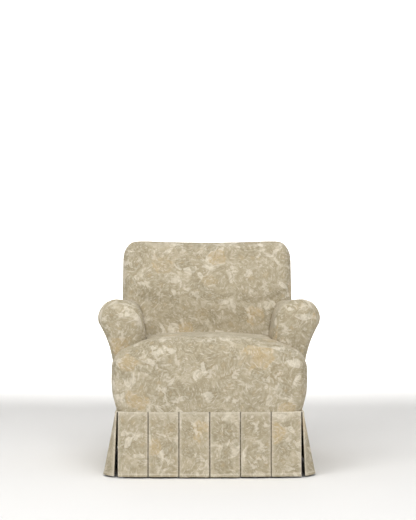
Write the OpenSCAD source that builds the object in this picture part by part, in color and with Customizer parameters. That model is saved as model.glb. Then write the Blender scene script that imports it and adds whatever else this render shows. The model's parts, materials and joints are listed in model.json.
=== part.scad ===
// Upholstered armchair with a tight T seat, rolled arms, a raked back and a box-pleated skirt.
// The chair faces -Y, +Z is up, and the origin is on the floor at the middle of its outline.

/* [Overall] */
// Depth over all
chair_d = 850; // [820:5:890]
// Height over all
chair_h = 830; // [800:5:870]

/* [Seat] */
// Width across the two ears of the seat
seat_w = 680; // [664:2:700]
// Height of the seat at its crown
seat_h = 490; // [475:1:500]
// How much lower the seat lies at the back than at its crown
seat_fall = 16; // [6:1:20]
// How much lower the seat lies at its sides than in the middle
ear_fall = 28; // [18:1:32]
// How far the outer ends of the ears drop, besides that fall
ear_drop = 36; // [20:1:40]
// Depth of the ears, from the front to the arms
ear_d = 105; // [98:1:115]
// Height of the rolled front edge
roll_h = 75; // [55:1:80]
// Depth of the rolled front edge
roll_d = 78; // [60:1:80]
// Radius of the rounded sides of the ears
ear_edge = 35; // [25:1:38]
// How far the front swells out over the skirt's seam
front_swell = 12; // [6:1:14]
// How far the front bows out at its middle
front_bow = 10; // [4:1:12]
// Height at which the front and sides swell out most
swell_h = 330; // [310:1:340]
// How far the sides draw in at the skirt's seam
side_tuck = 18; // [12:1:20]

/* [Arms] */
// Clear width between the arms at their front
arms_gap = 452; // [440:2:460]
// How far each arm's inner wall stands further out where it meets the back
arm_splay = 14; // [6:1:16]
// Width over the arms at their widest
arm_span = 794; // [776:2:806]
// Height of the arms at the front
arm_h = 616; // [600:1:630]
// How much lower the arms are at the back
arm_fall = 20; // [10:1:26]
// Width of an arm where it meets the back
arm_rear_w = 116; // [112:1:120]
// Height of an arm's roll, from its top to where its underside leaves the outside arm
arm_roll_h = 98; // [90:1:104]
// Depth of the rounded front of an arm
sock_d = 50; // [40:1:52]
// Height of the seam under the roll
arm_seam_h = 500; // [490:1:510]
// Height of that seam at the front of the arm
arm_seam_front_h = 394; // [385:1:405]

/* [Back] */
// Width of the back
back_w = 672; // [664:2:676]
// Lean of the front of the back, in degrees
front_lean = 18; // [16:0.5:19]
// Lean of the rear of the back, in degrees
rear_lean = 8.7; // [7:0.1:10]
// Thickness of the back at the height of the seat
back_t = 208.6; // [200:0.1:216]
// How far the front of the back swells out
back_crown = 25; // [10:1:30]
// Height of the rolled top edge of the back
top_roll_h = 58; // [50:1:64]
// Depth of the rolled top edge of the back
top_roll_d = 75; // [60:1:80]
// Radius of the rounded sides of the back
back_edge = 45; // [38:1:48]
// How far the top corners drop, besides that rounding
corner_drop = 16; // [8:1:20]
// Dip in the middle of the top edge
top_dip = 5; // [0:1:8]

/* [Skirt] */
// Height of the seam that the skirt hangs from
seam_h = 229; // [215:1:240]
// Height of the hem above the floor
hem_h = 6; // [4:1:12]
// Pleats across the front
front_pleats = 6; // [5:1:7]
// Pleats along each side
side_pleats = 7; // [6:1:8]
// Pleats across the back
back_pleats = 6; // [5:1:7]
// Gap between two pleats
pleat_gap = 5; // [4:0.5:8]
// How far each fold tucks in behind its pleat
pleat_tuck = 18; // [12:1:22]
// Distance between the layers of a fold
pleat_layer = 5; // [4:0.5:6]
// How far the front skirt stands out at its hem
front_flare = 10; // [4:1:11]
// How far the side skirts stand out at their hems
side_flare = 41; // [20:1:45]
// How far the back skirt stands out at its hem
back_flare = 28; // [15:1:40]
// Open corner between the front skirt and a side skirt
corner_gap = 12; // [8:1:16]

/* [Frame] */
// Thickness of the seat rails
rail_t = 28; // [24:1:30]
// Height of the seat rails
rail_h = 130; // [120:1:135]
// Height of the underside of the rails
rail_z = 140; // [130:1:145]
// Side of a square leg
leg_s = 45; // [40:1:46]
// Depth of the arm posts
post_d = 60; // [50:1:64]
// Depth of the back posts
back_post_d = 50; // [46:1:54]
// Thickness of the arm rails
arm_rail_t = 22; // [20:1:24]
// Height of the tack rails
tack_rail_h = 36; // [30:1:40]
// Thickness of the tack rails
tack_rail_t = 22; // [18:1:24]
// Leg of the triangular corner blocks
block_s = 95; // [92:1:110]
// Height of the corner blocks
block_h = 50; // [40:1:60]
// Diameter of the leg bolts
bolt_d = 8; // [6:1:10]
// Diameter of the wood screws
screw_d = 4.5; // [4:0.5:6]
// Diameter of a glide
glide_d = 22; // [18:1:30]
// Thickness of a glide
glide_t = 5; // [4:0.5:8]

/* [Springs] */
// Number of seat springs
spring_count = 5; // [4:1:6]
// Diameter of the spring wire
wire_d = 3.8; // [3.2:0.1:4.4]
// Width of a spring across its bends
spring_w = 56; // [46:1:60]
// Height that the springs arch over the rails
spring_rise = 26; // [20:1:28]

/* [Covers] */
// Thickness of a cover with its wadding
cover_t = 5; // [4:0.5:6]
// Thickness of the skirt's cloth
cloth_t = 2; // [1.5:0.1:2.4]
// Thickness of the arm foam
arm_foam_t = 24; // [18:1:26]
// Thickness of the seat platform and the webbing
webbing_t = 1.5; // [1:0.1:2]
// Width of a strap of webbing
strap_w = 50; // [44:1:56]
// Thickness of the dust cover
dust_t = 0.8; // [0.6:0.1:1.2]

/* [Hidden] */

// Clearance between soft pieces, and between a bolt and its hole
soft_gap = 0.3;
hole_gap = 0.2;
// Overrun of a cut past the face that it leaves
over = 1;
round_fn = 32;

front_y = -chair_d / 2;
rear_y = chair_d / 2;
ear_x = seat_w / 2;
back_x = back_w / 2;
arm_in = arms_gap / 2;
arm_w = arm_span / 2 - arm_in;
tongue_x = arm_in - soft_gap;
ear_y = front_y + ear_d;
back_y = rear_at(seat_h) - back_t;
rail_top = rail_z + rail_h;
wing_z = arm_h - arm_fall + soft_gap;
// Height at which the foam, the back and the arms rest on the seat platform
foam_z = rail_top + spring_rise + 2 * wire_d + webbing_t + 2 * soft_gap;
// A cover's step from one width to the next
step = 1.5;

// The arms' inner walls splay towards the rear, and the seat and the back widen with them
function splayed(p) = let (
    x = abs(p[0]),
    share = x <= tongue_x ? x / tongue_x : max(0, (seam_x - x) / (seam_x - tongue_x)))
    [p[0] + sign(p[0]) * share * arm_splay * (p[1] - ear_y) / (back_y - ear_y), p[1], p[2]];

// Wadding between the side rails and their cover
wadding_t = 9;
// Outer face of the side rails, front face of the front rail and front face of the back rail
frame_x = ear_x - side_tuck - cover_t - wadding_t;
frame_y = front_y + front_swell + front_bow + 2 * pleat_layer + 3 * cloth_t;
outer_back_t = cover_t + soft_gap;
foam_back_t = outer_back_t + back_post_d + 2 * webbing_t + soft_gap;
back_rail_y = rear_at(rail_top) - outer_back_t - back_post_d;

// Stations across a rounded side: 1 is the outermost point, 0 is where the rounding begins
edge_shares = [1, 0.92, 0.7, 0.4, 0];
back_edge_shares = [1, 0.93];
inner_shares = [0.75, 0.5, 0.25];

// Roll of an arm as seen from the front: share of the arm's width, then share of the roll's height down
arm_roll_shares = [
    [0, 1.29], [0.01, 0.97], [0.05, 0.58], [0.14, 0.28], [0.29, 0.14], [0.42, 0.05], [0.58, 0],
    [0.7, 0.02], [0.85, 0.14], [0.95, 0.36], [1, 0.62], [0.985, 0.84]];

// Shape of the seat and the back

// Share of the full width that the body has at a height, drawn in towards the seam
function tuck_at(z) = pow(1 - min(1, max(0, (z - seam_h) / (swell_h - seam_h))), 2);
function width_share(z) = 1 - side_tuck / ear_x * tuck_at(z);
function front_at(x, z) = front_y + front_bow * pow(x / ear_x, 2) + front_swell * tuck_at(z);
// Front plane of the back and rear plane of the chair, which both lean
function back_front_at(z) = back_y + (z - seat_h) * tan(front_lean);
function rear_at(z) = rear_y - max(0, chair_h - top_roll_h / 3 - z) * tan(rear_lean);
function edge_inset(share, radius) = radius * (1 - sqrt(1 - share * share));
// A line moved to its right by d, with mitred corners
function right_of(a, b) = let (t = (b - a) / norm(b - a)) [t[1], -t[0]];
function mitre(p, i) = let (
    last = len(p) - 1,
    n1 = right_of(p[max(i - 1, 0)], p[max(i, 1)]),
    n2 = right_of(p[min(i, last - 1)], p[min(i + 1, last)])) (n1 + n2) / (1 + n1 * n2);
function inset_line(p, d) = [for (i = [0 : len(p) - 1]) p[i] + d * mitre(p, i)];
// A value drawn by e towards the middle of its span, or towards its low end
function drawn_in(v, low, high, e) = let (mid = (low + high) / 2) mid + (v - mid) * (1 - 2 * e / (high - low));
function drawn_down(v, low, high, e) = low + (v - low) * (1 - e / (high - low));

// Solids from grids of points

// A strip of two triangles for each cell of a grid that starts at a given point number
function cells(rows, cols, first, flip) = [
    for (i = [0 : rows - 2], j = [0 : cols - 2]) let (
        a = first + i * cols + j, b = a + 1, c = a + cols + 1, d = a + cols)
        each flip ? [[a, b, c], [a, c, d]] : [[a, c, b], [a, d, c]]];
function strip(p, q, flip) = [
    for (i = [0 : len(p) - 2]) each flip
        ? [[p[i], p[i + 1], q[i + 1]], [p[i], q[i + 1], q[i]]]
        : [[p[i], q[i + 1], p[i + 1]], [p[i], q[i], q[i + 1]]]];
// A cap whose triangles run across from one side of the line to the other
function turned(t, flip) = flip ? [t[0], t[2], t[1]] : t;
function cap(p, flip) = let (n = len(p)) [
    for (i = [0 : ceil(n / 2) - 2]) let (a = p[i], b = p[i + 1], c = p[n - 2 - i], d = p[n - 1 - i])
        each concat([turned([a, b, d], flip)], b == c ? [] : [turned([b, c, d], flip)])];
function row_of(i, cols, first) = [for (j = [0 : cols - 1]) first + i * cols + j];
function col_of(j, rows, cols, first) = [for (i = [0 : rows - 1]) first + i * cols + j];

// A sheet between two grids, closed round its four edges
module sheet_solid(a, b) {
    rows = len(a);
    cols = len(a[0]);
    n = rows * cols;
    polyhedron([for (r = a) each r, for (r = b) each r], concat(
        cells(rows, cols, 0, false), cells(rows, cols, n, true),
        strip(row_of(0, cols, 0), row_of(0, cols, n), true),
        strip(row_of(rows - 1, cols, 0), row_of(rows - 1, cols, n), false),
        strip(col_of(0, rows, cols, 0), col_of(0, rows, cols, n), false),
        strip(col_of(cols - 1, rows, cols, 0), col_of(cols - 1, rows, cols, n), true)));
}

// A shell whose rows are open lines: both ends are closed, and it is open between each row's two ends
module cup_solid(a, b) {
    rows = len(a);
    cols = len(a[0]);
    n = rows * cols;
    first = [0, cols - 1];
    last = [(rows - 1) * cols, rows * cols - 1];
    polyhedron([for (r = a) each r, for (r = b) each r], concat(
        cells(rows, cols, 0, false), cells(rows, cols, n, true),
        cap(row_of(0, cols, 0), false), cap(row_of(rows - 1, cols, 0), true),
        cap(row_of(0, cols, n), true), cap(row_of(rows - 1, cols, n), false),
        strip(first, [for (k = first) k + n], true),
        strip(last, [for (k = last) k + n], false),
        strip(col_of(0, rows, cols, 0), col_of(0, rows, cols, n), false),
        strip(col_of(cols - 1, rows, cols, 0), col_of(cols - 1, rows, cols, n), true)));
}

// A solid whose rows are open lines, closed straight across between each row's two ends
module block_solid(a) {
    rows = len(a);
    cols = len(a[0]);
    polyhedron([for (r = a) each r], concat(
        cells(rows, cols, 0, false),
        cap(row_of(0, cols, 0), false), cap(row_of(rows - 1, cols, 0), true),
        strip(col_of(0, rows, cols, 0), col_of(cols - 1, rows, cols, 0), false)));
}

// Seat

// Share of the half width past which the ears drop
ear_drop_share = 0.66;
// Past this share of the rounded side, the cover reaches down to the skirt's seam
low_share = 0.8;
// Places along the top of an ear: the last stretch is longer than the cover is thick
ear_run_shares = [0, 0.1, 0.2, 0.3, 1];
function mirrored(half) = [for (i = [len(half) - 1 : -1 : 0]) concat([-half[i][0]], [
    for (k = [1 : len(half[i]) - 1]) half[i][k]])];
// Each station across the seat: place, inset of the rounded side, part of an ear or not, low or not
function seat_half(inset) = concat(
    [for (s = edge_shares) [
        ear_x - inset - ear_edge * (1 - s), edge_inset(s, ear_edge), true, s > low_share]],
    [[tongue_x - inset, 0, true, false], [tongue_x - step - inset, 0, false, false]],
    [for (s = inner_shares) [s * (tongue_x - inset), 0, false, false]]);
function seat_stations(inset) = concat(
    seat_half(inset), [[0, 0, false, false]], mirrored(seat_half(inset)));
function seat_rear_at(ear, z) = (ear ? ear_y : back_front_at(z)) - soft_gap;
function seat_line(x, ear, base_z, rear_z) = let (
    top = seat_h - ear_fall * pow(x / ear_x, 2)
        - ear_drop * pow(max(0, abs(x) / ear_x - ear_drop_share) / (1 - ear_drop_share), 1.1),
    y0 = front_at(x, swell_h),
    z0 = top - roll_h,
    fall = ear ? 0 : seat_fall,
    end_z = top - fall) concat(
    [for (s = [0 : 0.25 : 0.75]) let (z = base_z + s * (z0 - base_z)) [front_at(x, z), z]],
    [for (a = [0 : 18 : 72]) [y0 + roll_d * (1 - cos(a)), z0 + roll_h * sin(a)]],
    [for (s = ear ? ear_run_shares : [0 : 0.25 : 1]) [
        (1 - s) * (y0 + roll_d) + s * seat_rear_at(ear, end_z), top - fall * s * s]],
    [for (s = [1 / 3, 2 / 3, 1]) let (z = end_z + s * (rear_z - end_z)) [seat_rear_at(ear, z), z]]);
// A line with its first and last points put back to their heights
function pinned(p, first_z, last_z) = [for (i = [0 : len(p) - 1])
    i == 0 ? [p[i][0], first_z] : i == len(p) - 1 ? [p[i][0], last_z] : p[i]];
function seat_rows(inset, base_z, low_z, rear_z) = [
    for (st = seat_stations(inset)) let (
        end_z = st[3] ? low_z : rear_z,
        line = pinned(inset_line(seat_line(st[0], st[2], base_z, end_z), inset), base_z, end_z),
        y0 = min([for (p = line) p[0]]),
        y1 = max([for (p = line) p[0]]),
        z1 = max([for (p = line) p[1]]))
        [for (p = line) let (z = drawn_down(p[1], base_z, z1, st[1]))
            splayed([st[0] * width_share(z), -drawn_down(-p[0], -y1, -y0, st[1]), z])]];

module seat_cover() {
    bottom = seam_h + soft_gap;
    color("tan") cup_solid(
        seat_rows(0, bottom, bottom, foam_z), seat_rows(cover_t, bottom, bottom, foam_z));
}
module seat_foam() {
    color("khaki") block_solid(seat_rows(cover_t + soft_gap, foam_z, foam_z, foam_z));
}

// Back

// Height of the arms' rolls behind the front of the back, at a distance from the middle
function wing_base_at(x) =
    arm_h - arm_fall + soft_gap - arm_roll_h * lookup((x - arm_in) / arm_rear_w, arm_roll_shares);
// A station of the wing: place, inset of the rounded side, height where it rests on the arm; where the
// roll falls away outwards, an inner surface keeps above the outer one
function wing_station(x, inset) = [
    x - inset, edge_inset(max(0, x + back_edge - back_x) / back_edge, back_edge),
    max(wing_base_at(x), wing_base_at(x - 2 * inset))];
function back_half(inset) = concat(
    [for (s = back_edge_shares) wing_station(back_x - back_edge * (1 - s), inset)],
    [for (k = [8 : -1 : 0]) wing_station(arm_in + arm_roll_shares[k][0] * arm_rear_w, inset)],
    [[tongue_x - step - inset, 0, foam_z]],
    [for (s = inner_shares) [s * (tongue_x - inset), 0, foam_z]]);
function back_stations(inset) = concat(back_half(inset), [[0, 0, foam_z]], mirrored(back_half(inset)));
// Shares of the back's half width: within the first the top edge dips, past the second it drops
dip_share = 0.65;
drop_share = 0.76;
function back_top_at(x) = let (s = abs(x) / back_x)
    chair_h - top_dip * max(0, 1 - pow(s / dip_share, 2))
    - corner_drop * pow(max(0, s - drop_share) / (1 - drop_share), 2);
// The swell of the back is held in by the arms below their tops and runs to the sides above them
function crown_at(x, z, z0, z1) = let (
    half_w = arm_in + (back_x - arm_in) * min(1, max(0, (z - wing_z) / back_edge)))
    back_crown * max(0, 1 - pow(x / half_w, 2)) * sin(180 * min(1, max(0, (z - z0) / (z1 - z0))));
function back_line(x, base_z, start_t) = let (
    top = back_top_at(x),
    z1 = top - top_roll_h,
    z0 = seat_h,
    y1 = back_front_at(z1),
    end_z = top - top_roll_h / 3,
    rear_y0 = rear_at(end_z) - outer_back_t,
    start_y = rear_at(base_z) - start_t,
    top_y = min(y1 + top_roll_d, rear_y0 - rail_t)) concat(
    [[start_y, base_z], [(start_y + back_front_at(base_z)) / 2, base_z]],
    [for (s = [0 : 0.2 : 1]) let (z = base_z + s * (z1 - base_z))
        [back_front_at(z) - crown_at(x, z, z0, z1), z]],
    [for (a = [18 : 18 : 90]) [y1 + (top_y - y1) * (1 - cos(a)), z1 + top_roll_h * sin(a)]],
    [for (s = [0.4, 0.8, 1]) [top_y + s * (rear_y0 - top_y), top - s * s * (top - end_z)]]);
// No point of a row comes nearer to the chair's rear plane than near_t
function back_rows(inset, near_t) = [
    for (st = back_stations(inset)) let (
        start_t = max(near_t, st[2] > foam_z ? outer_back_t : foam_back_t),
        line = inset_line(back_line(st[0], st[2], start_t), inset),
        last = len(line) - 1,
        away = [for (i = [0 : last]) i == 0 ? start_t : i == last ? near_t : rear_at(line[i][1]) - line[i][0]],
        depth = max(away),
        z0 = line[0][1],
        z1 = max([for (p = line) p[1]]))
        [for (i = [0 : last]) let (z = drawn_down(line[i][1], z0, z1, st[1]))
            splayed([st[0], rear_at(z) - max(near_t, drawn_down(away[i], outer_back_t, depth, st[1])), z])]];

module back_cover() {
    color("tan") cup_solid(back_rows(0, outer_back_t), back_rows(cover_t, outer_back_t));
}
module back_foam() {
    color("khaki") block_solid(back_rows(cover_t + soft_gap, foam_back_t));
}
module outside_back() {
    low = seam_h + soft_gap;
    edges = back_rows(0, outer_back_t);
    rows = function (t) [for (r = edges) let (end = r[len(r) - 1])
        [for (s = [0 : 0.2 : 1]) let (z = low + s * (end[2] - low)) [
            end[0] * width_share(z), rear_at(z) - t, z]]];
    color("tan") sheet_solid(rows(cover_t), rows(0));
}

// Arms, made on the right and mirrored to the left

arm_y = ear_y + sock_d;
// Share of the way from the rounded front of an arm to its rear, then how much of its flare is left
arm_shares = [0.06, 0.12, 0.28, 0.46, 0.64, 0.82, 1];
flare_power = 1.5;
// How sharply the outside arm swings out under the roll
swing_power = 2.2;
function along(y) = min(1, max(0, (y - arm_y) / (back_y - arm_y)));
function roll_w_at(y) = let (f = 1 - pow(along(y), flare_power)) f * arm_w + (1 - f) * arm_rear_w;
function arm_top_at(y) = arm_h - arm_fall * along(y);
function arm_seam_at(y) = arm_seam_front_h
    + (arm_seam_h - arm_seam_front_h) * min(1, max(0, (y - arm_y) / sock_d));
roll_end_share = arm_roll_shares[len(arm_roll_shares) - 1];
function outside_x_at(y, z) = let (
    under = arm_top_at(y) - roll_end_share[1] * arm_roll_h,
    reach = max(0, arm_in + roll_end_share[0] * roll_w_at(y) - ear_x))
    ear_x * width_share(z)
    + reach * pow(min(1, max(0, (z - swell_h) / (under - swell_h))), swing_power);
function arm_line(y) = let (
    top = arm_top_at(y),
    roll = [for (s = arm_roll_shares) [arm_in + s[0] * roll_w_at(y), top - s[1] * arm_roll_h]],
    under = roll[len(roll) - 1][1],
    wall_z = roll[0][1]) concat(
    [for (s = [0, 0.5]) [arm_in, foam_z + s * (wall_z - foam_z)]],
    roll,
    [for (s = [0.33, 0.66, 1]) let (z = under + s * (arm_seam_at(y) - under)) [outside_x_at(y, z), z]]);
// Each station along an arm: place at the seam's height, share of the way to the rear, rounding inset
function arm_stations() = concat(
    [for (s = edge_shares) [ear_y + sock_d * (1 - s), 0, edge_inset(s, sock_d)]],
    [for (s = arm_shares) [arm_y + s * (rear_at(arm_seam_h) - arm_y), s, 0]]);
function arm_rows(inset) = [
    for (st = arm_stations()) let (
        line = arm_line(st[0]),
        moved = pinned(inset_line(line, inset), line[0][1], line[len(line) - 1][1]),
        x0 = min([for (p = moved) p[0]]),
        x1 = max([for (p = moved) p[0]]),
        z1 = max([for (p = moved) p[1]]))
        [for (p = moved) let (
            z = drawn_down(p[1], foam_z, z1, st[2]),
            rear = rear_at(z) - outer_back_t - inset)
            splayed([
                drawn_in(p[0], x0, x1, st[2]),
                st[1] == 0 ? st[0] + inset : arm_y + st[1] * (rear - arm_y), z])]];
module arm_cover_right() {
    color("tan") cup_solid(arm_rows(0), arm_rows(cover_t));
}
module arm_foam_right() {
    inset = cover_t + soft_gap;
    color("khaki") cup_solid(arm_rows(inset), arm_rows(inset + arm_foam_t));
}
module outside_arm_right() {
    low = seam_h + soft_gap;
    front_share = -sock_d / (rear_at(arm_seam_h) - arm_y);
    rows = function (t) [for (s = concat([front_share, 0], arm_shares)) let (
        y0 = arm_y + s * (rear_at(arm_seam_h) - arm_y),
        top = arm_seam_at(y0) - soft_gap)
        [for (k = [0 : 7]) let (
            z = low + k / 7 * (top - low),
            rear = rear_at(z) - outer_back_t)
            [outside_x_at(y0, z) - t, max(ear_y + soft_gap, arm_y + s * (rear - arm_y)), z]]];
    color("tan") sheet_solid(rows(cover_t), rows(0));
}
module arm_cover_left() mirror([1, 0, 0]) arm_cover_right();
module arm_foam_left() mirror([1, 0, 0]) arm_foam_right();
module outside_arm_left() mirror([1, 0, 0]) outside_arm_right();

// Skirt: each run is a line of box pleats seen from above, [along the run, depth behind its face]

seam_x = ear_x - side_tuck;
skirt_proud = 3 * cloth_t;
side_skirt_x = seam_x + skirt_proud;
side_skirt_y = front_at(ear_x, seam_h) + skirt_proud / 2;
// The side and back skirts swing out to their full flare within this distance of a corner
corner_swing = 52;
corner_share = 0.2;
function swing_at(s, length) =
    corner_share + (1 - corner_share) * sin(90 * min(1, s / corner_swing, (length - s) / corner_swing));
level_shares = [0, 0.35, 1];
function fold_line(s) = [
    [s, pleat_layer], [s - pleat_tuck, pleat_layer], [s - pleat_tuck, 2 * pleat_layer],
    [s + pleat_gap + pleat_tuck, 2 * pleat_layer], [s + pleat_gap + pleat_tuck, pleat_layer],
    [s + pleat_gap, pleat_layer]];
function run_line(length, count) = let (w = (length - (count - 1) * pleat_gap) / count) concat(
    [[pleat_tuck, pleat_layer], [0, pleat_layer]],
    [for (i = [0 : count - 1]) let (s = i * (w + pleat_gap)) each concat(
        [[s, 0], [s + w, 0]], i < count - 1 ? fold_line(s + w) : [])],
    [[length, pleat_layer], [length - pleat_tuck, pleat_layer]]);
// place(along, depth, share of the way down) puts a point of the run in the chair
module skirt_run(length, count, place) {
    line = run_line(length, count);
    rows = function (d) [for (k = level_shares) let (z = seam_h - k * (seam_h - hem_h))
        [for (p = inset_line(line, d)) concat(place(p[0], p[1], k), [z])]];
    color("wheat") sheet_solid(rows(-cloth_t / 2), rows(cloth_t / 2));
}
module skirt_front() {
    length = 2 * (seam_x - 2 * cloth_t);
    skirt_run(length, front_pleats, function (s, d, k) let (x = s - length / 2)
        [x, front_at(x, seam_h) + cloth_t / 2 + d - front_flare * k]);
}
module skirt_right() {
    length = rear_at(seam_h) - side_skirt_y;
    skirt_run(length, side_pleats, function (s, d, k) [
        side_skirt_x - d + side_flare * k * swing_at(s, length), side_skirt_y + s]);
}
module skirt_left() mirror([1, 0, 0]) skirt_right();
module skirt_back() {
    length = 2 * (seam_x - 2 * cloth_t);
    skirt_run(length, back_pleats, function (s, d, k) [
        length / 2 - s, rear_at(seam_h) + skirt_proud - d + back_flare * k * swing_at(s, length)]);
}

// Frame

module box_between(a, b) translate(a) cube(b - a);
module both_sides() {
    children();
    mirror([1, 0, 0]) children();
}
rail_in_x = frame_x - rail_t;
front_rail_in_y = frame_y + rail_t;
leg_x = rail_in_x - leg_s / 2;
leg_front_y = front_rail_in_y + leg_s / 2;
leg_back_y = back_rail_y - leg_s / 2;
block_z = rail_z;
screw_l = block_s / 2;
screw_hole_d = screw_d + 2 * hole_gap;

// A bar across the chair that leans with its back, between two distances from the rear plane
module lean_bar(x0, x1, z0, z1, t0, t1) {
    translate([x0, 0, 0]) rotate([90, 0, 90]) linear_extrude(x1 - x0) polygon([
        [rear_at(z0) - t1, z0], [rear_at(z0) - t0, z0],
        [rear_at(z1) - t0, z1], [rear_at(z1) - t1, z1]]);
}
// Puts its children at the four corners of the rails, turned so that +X and +Y run into the seat
module at_corners() {
    for (sx = [-1, 1], front = [true, false])
        translate([sx * rail_in_x, front ? front_rail_in_y : back_rail_y, 0])
            mirror([sx > 0 ? 1 : 0, 0, 0]) mirror([0, front ? 0 : 1, 0]) children();
}
// Screws of one corner block, low one into the side rail and high one into the front or back rail
module block_screw_at(d, l) {
    place = 0.72 * block_s;
    translate([-l / 2, place, block_z + block_h / 3]) rotate([0, 90, 0])
        cylinder(d = d, h = l, $fn = round_fn);
    translate([place, -l / 2, block_z + 2 * block_h / 3]) rotate([-90, 0, 0])
        cylinder(d = d, h = l, $fn = round_fn);
}
module rails_cut() {
    difference() {
        children();
        at_corners() block_screw_at(screw_hole_d, screw_l + hole_gap);
    }
}
module front_rail() {
    color("burlywood") rails_cut() box_between(
        [-frame_x, frame_y, rail_z], [frame_x, front_rail_in_y, rail_top]);
}
module back_rail() {
    color("burlywood") rails_cut() box_between(
        [-rail_in_x, back_rail_y, rail_z], [rail_in_x, back_rail_y + rail_t, rail_top]);
}
module side_rail_right() {
    color("burlywood") rails_cut() box_between(
        [rail_in_x, front_rail_in_y, rail_z], [frame_x, back_rail_y + rail_t, rail_top]);
}
module side_rail_left() mirror([1, 0, 0]) side_rail_right();
module corner_blocks() {
    color("peru") at_corners() difference() {
        translate([0, 0, block_z]) linear_extrude(block_h) polygon([[0, 0], [block_s, 0], [0, block_s]]);
        translate([leg_s / 2, leg_s / 2, block_z - over])
            cylinder(d = bolt_d + 2 * hole_gap, h = block_h + 2 * over, $fn = round_fn);
        block_screw_at(screw_hole_d, screw_l + hole_gap);
    }
}
module block_screws() color("silver") at_corners() block_screw_at(screw_d, screw_l);

// A leg, its bolt up through the corner block, and its glide
bolt_in_leg = block_h;
washer_t = bolt_d / 5;
washer_d = 2.2 * bolt_d;
nut_d = 1.6 * bolt_d;
nut_h = 0.8 * bolt_d;
glide_pin_d = glide_t / 2;
glide_pin_h = 3 * glide_t;
module leg() {
    color("saddlebrown") difference() {
        translate([-leg_s / 2, -leg_s / 2, glide_t]) cube([leg_s, leg_s, rail_z - glide_t]);
        translate([0, 0, rail_z - bolt_in_leg - hole_gap])
            cylinder(d = bolt_d + 2 * hole_gap, h = bolt_in_leg + hole_gap + over, $fn = round_fn);
        translate([0, 0, glide_t - over])
            cylinder(d = glide_pin_d + 2 * hole_gap, h = glide_pin_h + hole_gap + over, $fn = round_fn);
    }
}
module leg_front_right() translate([leg_x, leg_front_y, 0]) leg();
module leg_back_right() translate([leg_x, leg_back_y, 0]) leg();
module leg_front_left() mirror([1, 0, 0]) leg_front_right();
module leg_back_left() mirror([1, 0, 0]) leg_back_right();
module at_legs() both_sides() {
    translate([leg_x, leg_front_y, 0]) children();
    translate([leg_x, leg_back_y, 0]) children();
}
module leg_bolts() {
    color("silver") at_legs() {
        translate([0, 0, rail_z - bolt_in_leg])
            cylinder(d = bolt_d, h = bolt_in_leg + block_h + washer_t + 1.5 * nut_h, $fn = round_fn);
        translate([0, 0, block_z + block_h]) cylinder(d = washer_d, h = washer_t, $fn = round_fn);
        translate([0, 0, block_z + block_h + washer_t]) cylinder(d = nut_d, h = nut_h, $fn = 6);
    }
}
module glides() {
    color("gray") at_legs() {
        cylinder(d = glide_d, h = glide_t, $fn = round_fn);
        cylinder(d = glide_pin_d, h = glide_t + glide_pin_h, $fn = round_fn);
    }
}

// Arm frame
arm_rail_z = arm_seam_h + arm_foam_t + 2 * cover_t;
post_out_x = min(frame_x, arm_span / 2 - arm_foam_t - 2 * cover_t);
post_in_x = post_out_x - rail_t;
front_post_y = arm_y + 3 * cover_t;
rear_post_y = back_rail_y + rail_t - post_d - 2 * cover_t;
arm_rail_in = arm_in + arm_foam_t + 5 * cover_t;
module arm_post_right() {
    color("burlywood") box_between(
        [post_in_x, front_post_y, rail_top], [post_out_x, front_post_y + post_d, arm_rail_z]);
}
module rear_arm_post_right() {
    color("burlywood") box_between(
        [post_in_x, rear_post_y, rail_top], [post_out_x, rear_post_y + post_d, arm_rail_z]);
}
module arm_rail_right() {
    rear = rear_at(arm_rail_z) - outer_back_t - 2 * cover_t - arm_foam_t;
    front_out = arm_span / 2 - arm_foam_t - 3 * cover_t;
    rear_out = arm_in + arm_rear_w - arm_foam_t - 3 * cover_t;
    color("burlywood") translate([0, 0, arm_rail_z]) linear_extrude(arm_rail_t) polygon([
        [arm_rail_in, front_post_y], [front_out, front_post_y],
        [rear_out, back_y], [rear_out, rear], [arm_rail_in + arm_splay, rear]]);
}
module arm_tack_rail_right() {
    color("burlywood") box_between(
        [post_in_x, front_post_y + post_d, foam_z],
        [post_in_x + tack_rail_t, rear_post_y, foam_z + tack_rail_h]);
}
module arm_post_left() mirror([1, 0, 0]) arm_post_right();
module rear_arm_post_left() mirror([1, 0, 0]) rear_arm_post_right();
module arm_rail_left() mirror([1, 0, 0]) arm_rail_right();
module arm_tack_rail_left() mirror([1, 0, 0]) arm_tack_rail_right();

// Back frame
back_post_x = tongue_x - 2 * cover_t;
crest_z = chair_h - top_roll_h / 3 - 3 * cover_t;
crest_h = rail_t;
post_near = outer_back_t;
post_far = outer_back_t + back_post_d;
wing_out = back_x - back_edge;
module back_post_right() {
    color("burlywood") lean_bar(
        back_post_x - rail_t, back_post_x, rail_top, crest_z - crest_h, post_near, post_far);
}
module back_post_left() mirror([1, 0, 0]) back_post_right();
module crest_rail() {
    color("burlywood") lean_bar(-wing_out, wing_out, crest_z - crest_h, crest_z, post_near, post_far);
}
module back_tack_rail() {
    inner = back_post_x - rail_t;
    color("burlywood") lean_bar(-inner, inner, foam_z, foam_z + tack_rail_h, post_far - tack_rail_t, post_far);
}
module wing_frame_right() {
    base = wing_z + cover_t + soft_gap;
    near = post_near + (back_post_d - rail_t) / 2;
    color("burlywood") {
        lean_bar(back_post_x, wing_out, base, base + tack_rail_t, near, near + rail_t);
        lean_bar(wing_out - tack_rail_t, wing_out, base, crest_z - crest_h, near, near + rail_t);
    }
}
module wing_frame_left() mirror([1, 0, 0]) wing_frame_right();

// Springs

spring_y0 = frame_y + rail_t / 2;
spring_y1 = back_rail_y + rail_t / 2;
spring_end_z = rail_top + 1.5 * wire_d;
spring_bends = 16;
bend_steps = 4;
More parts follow.
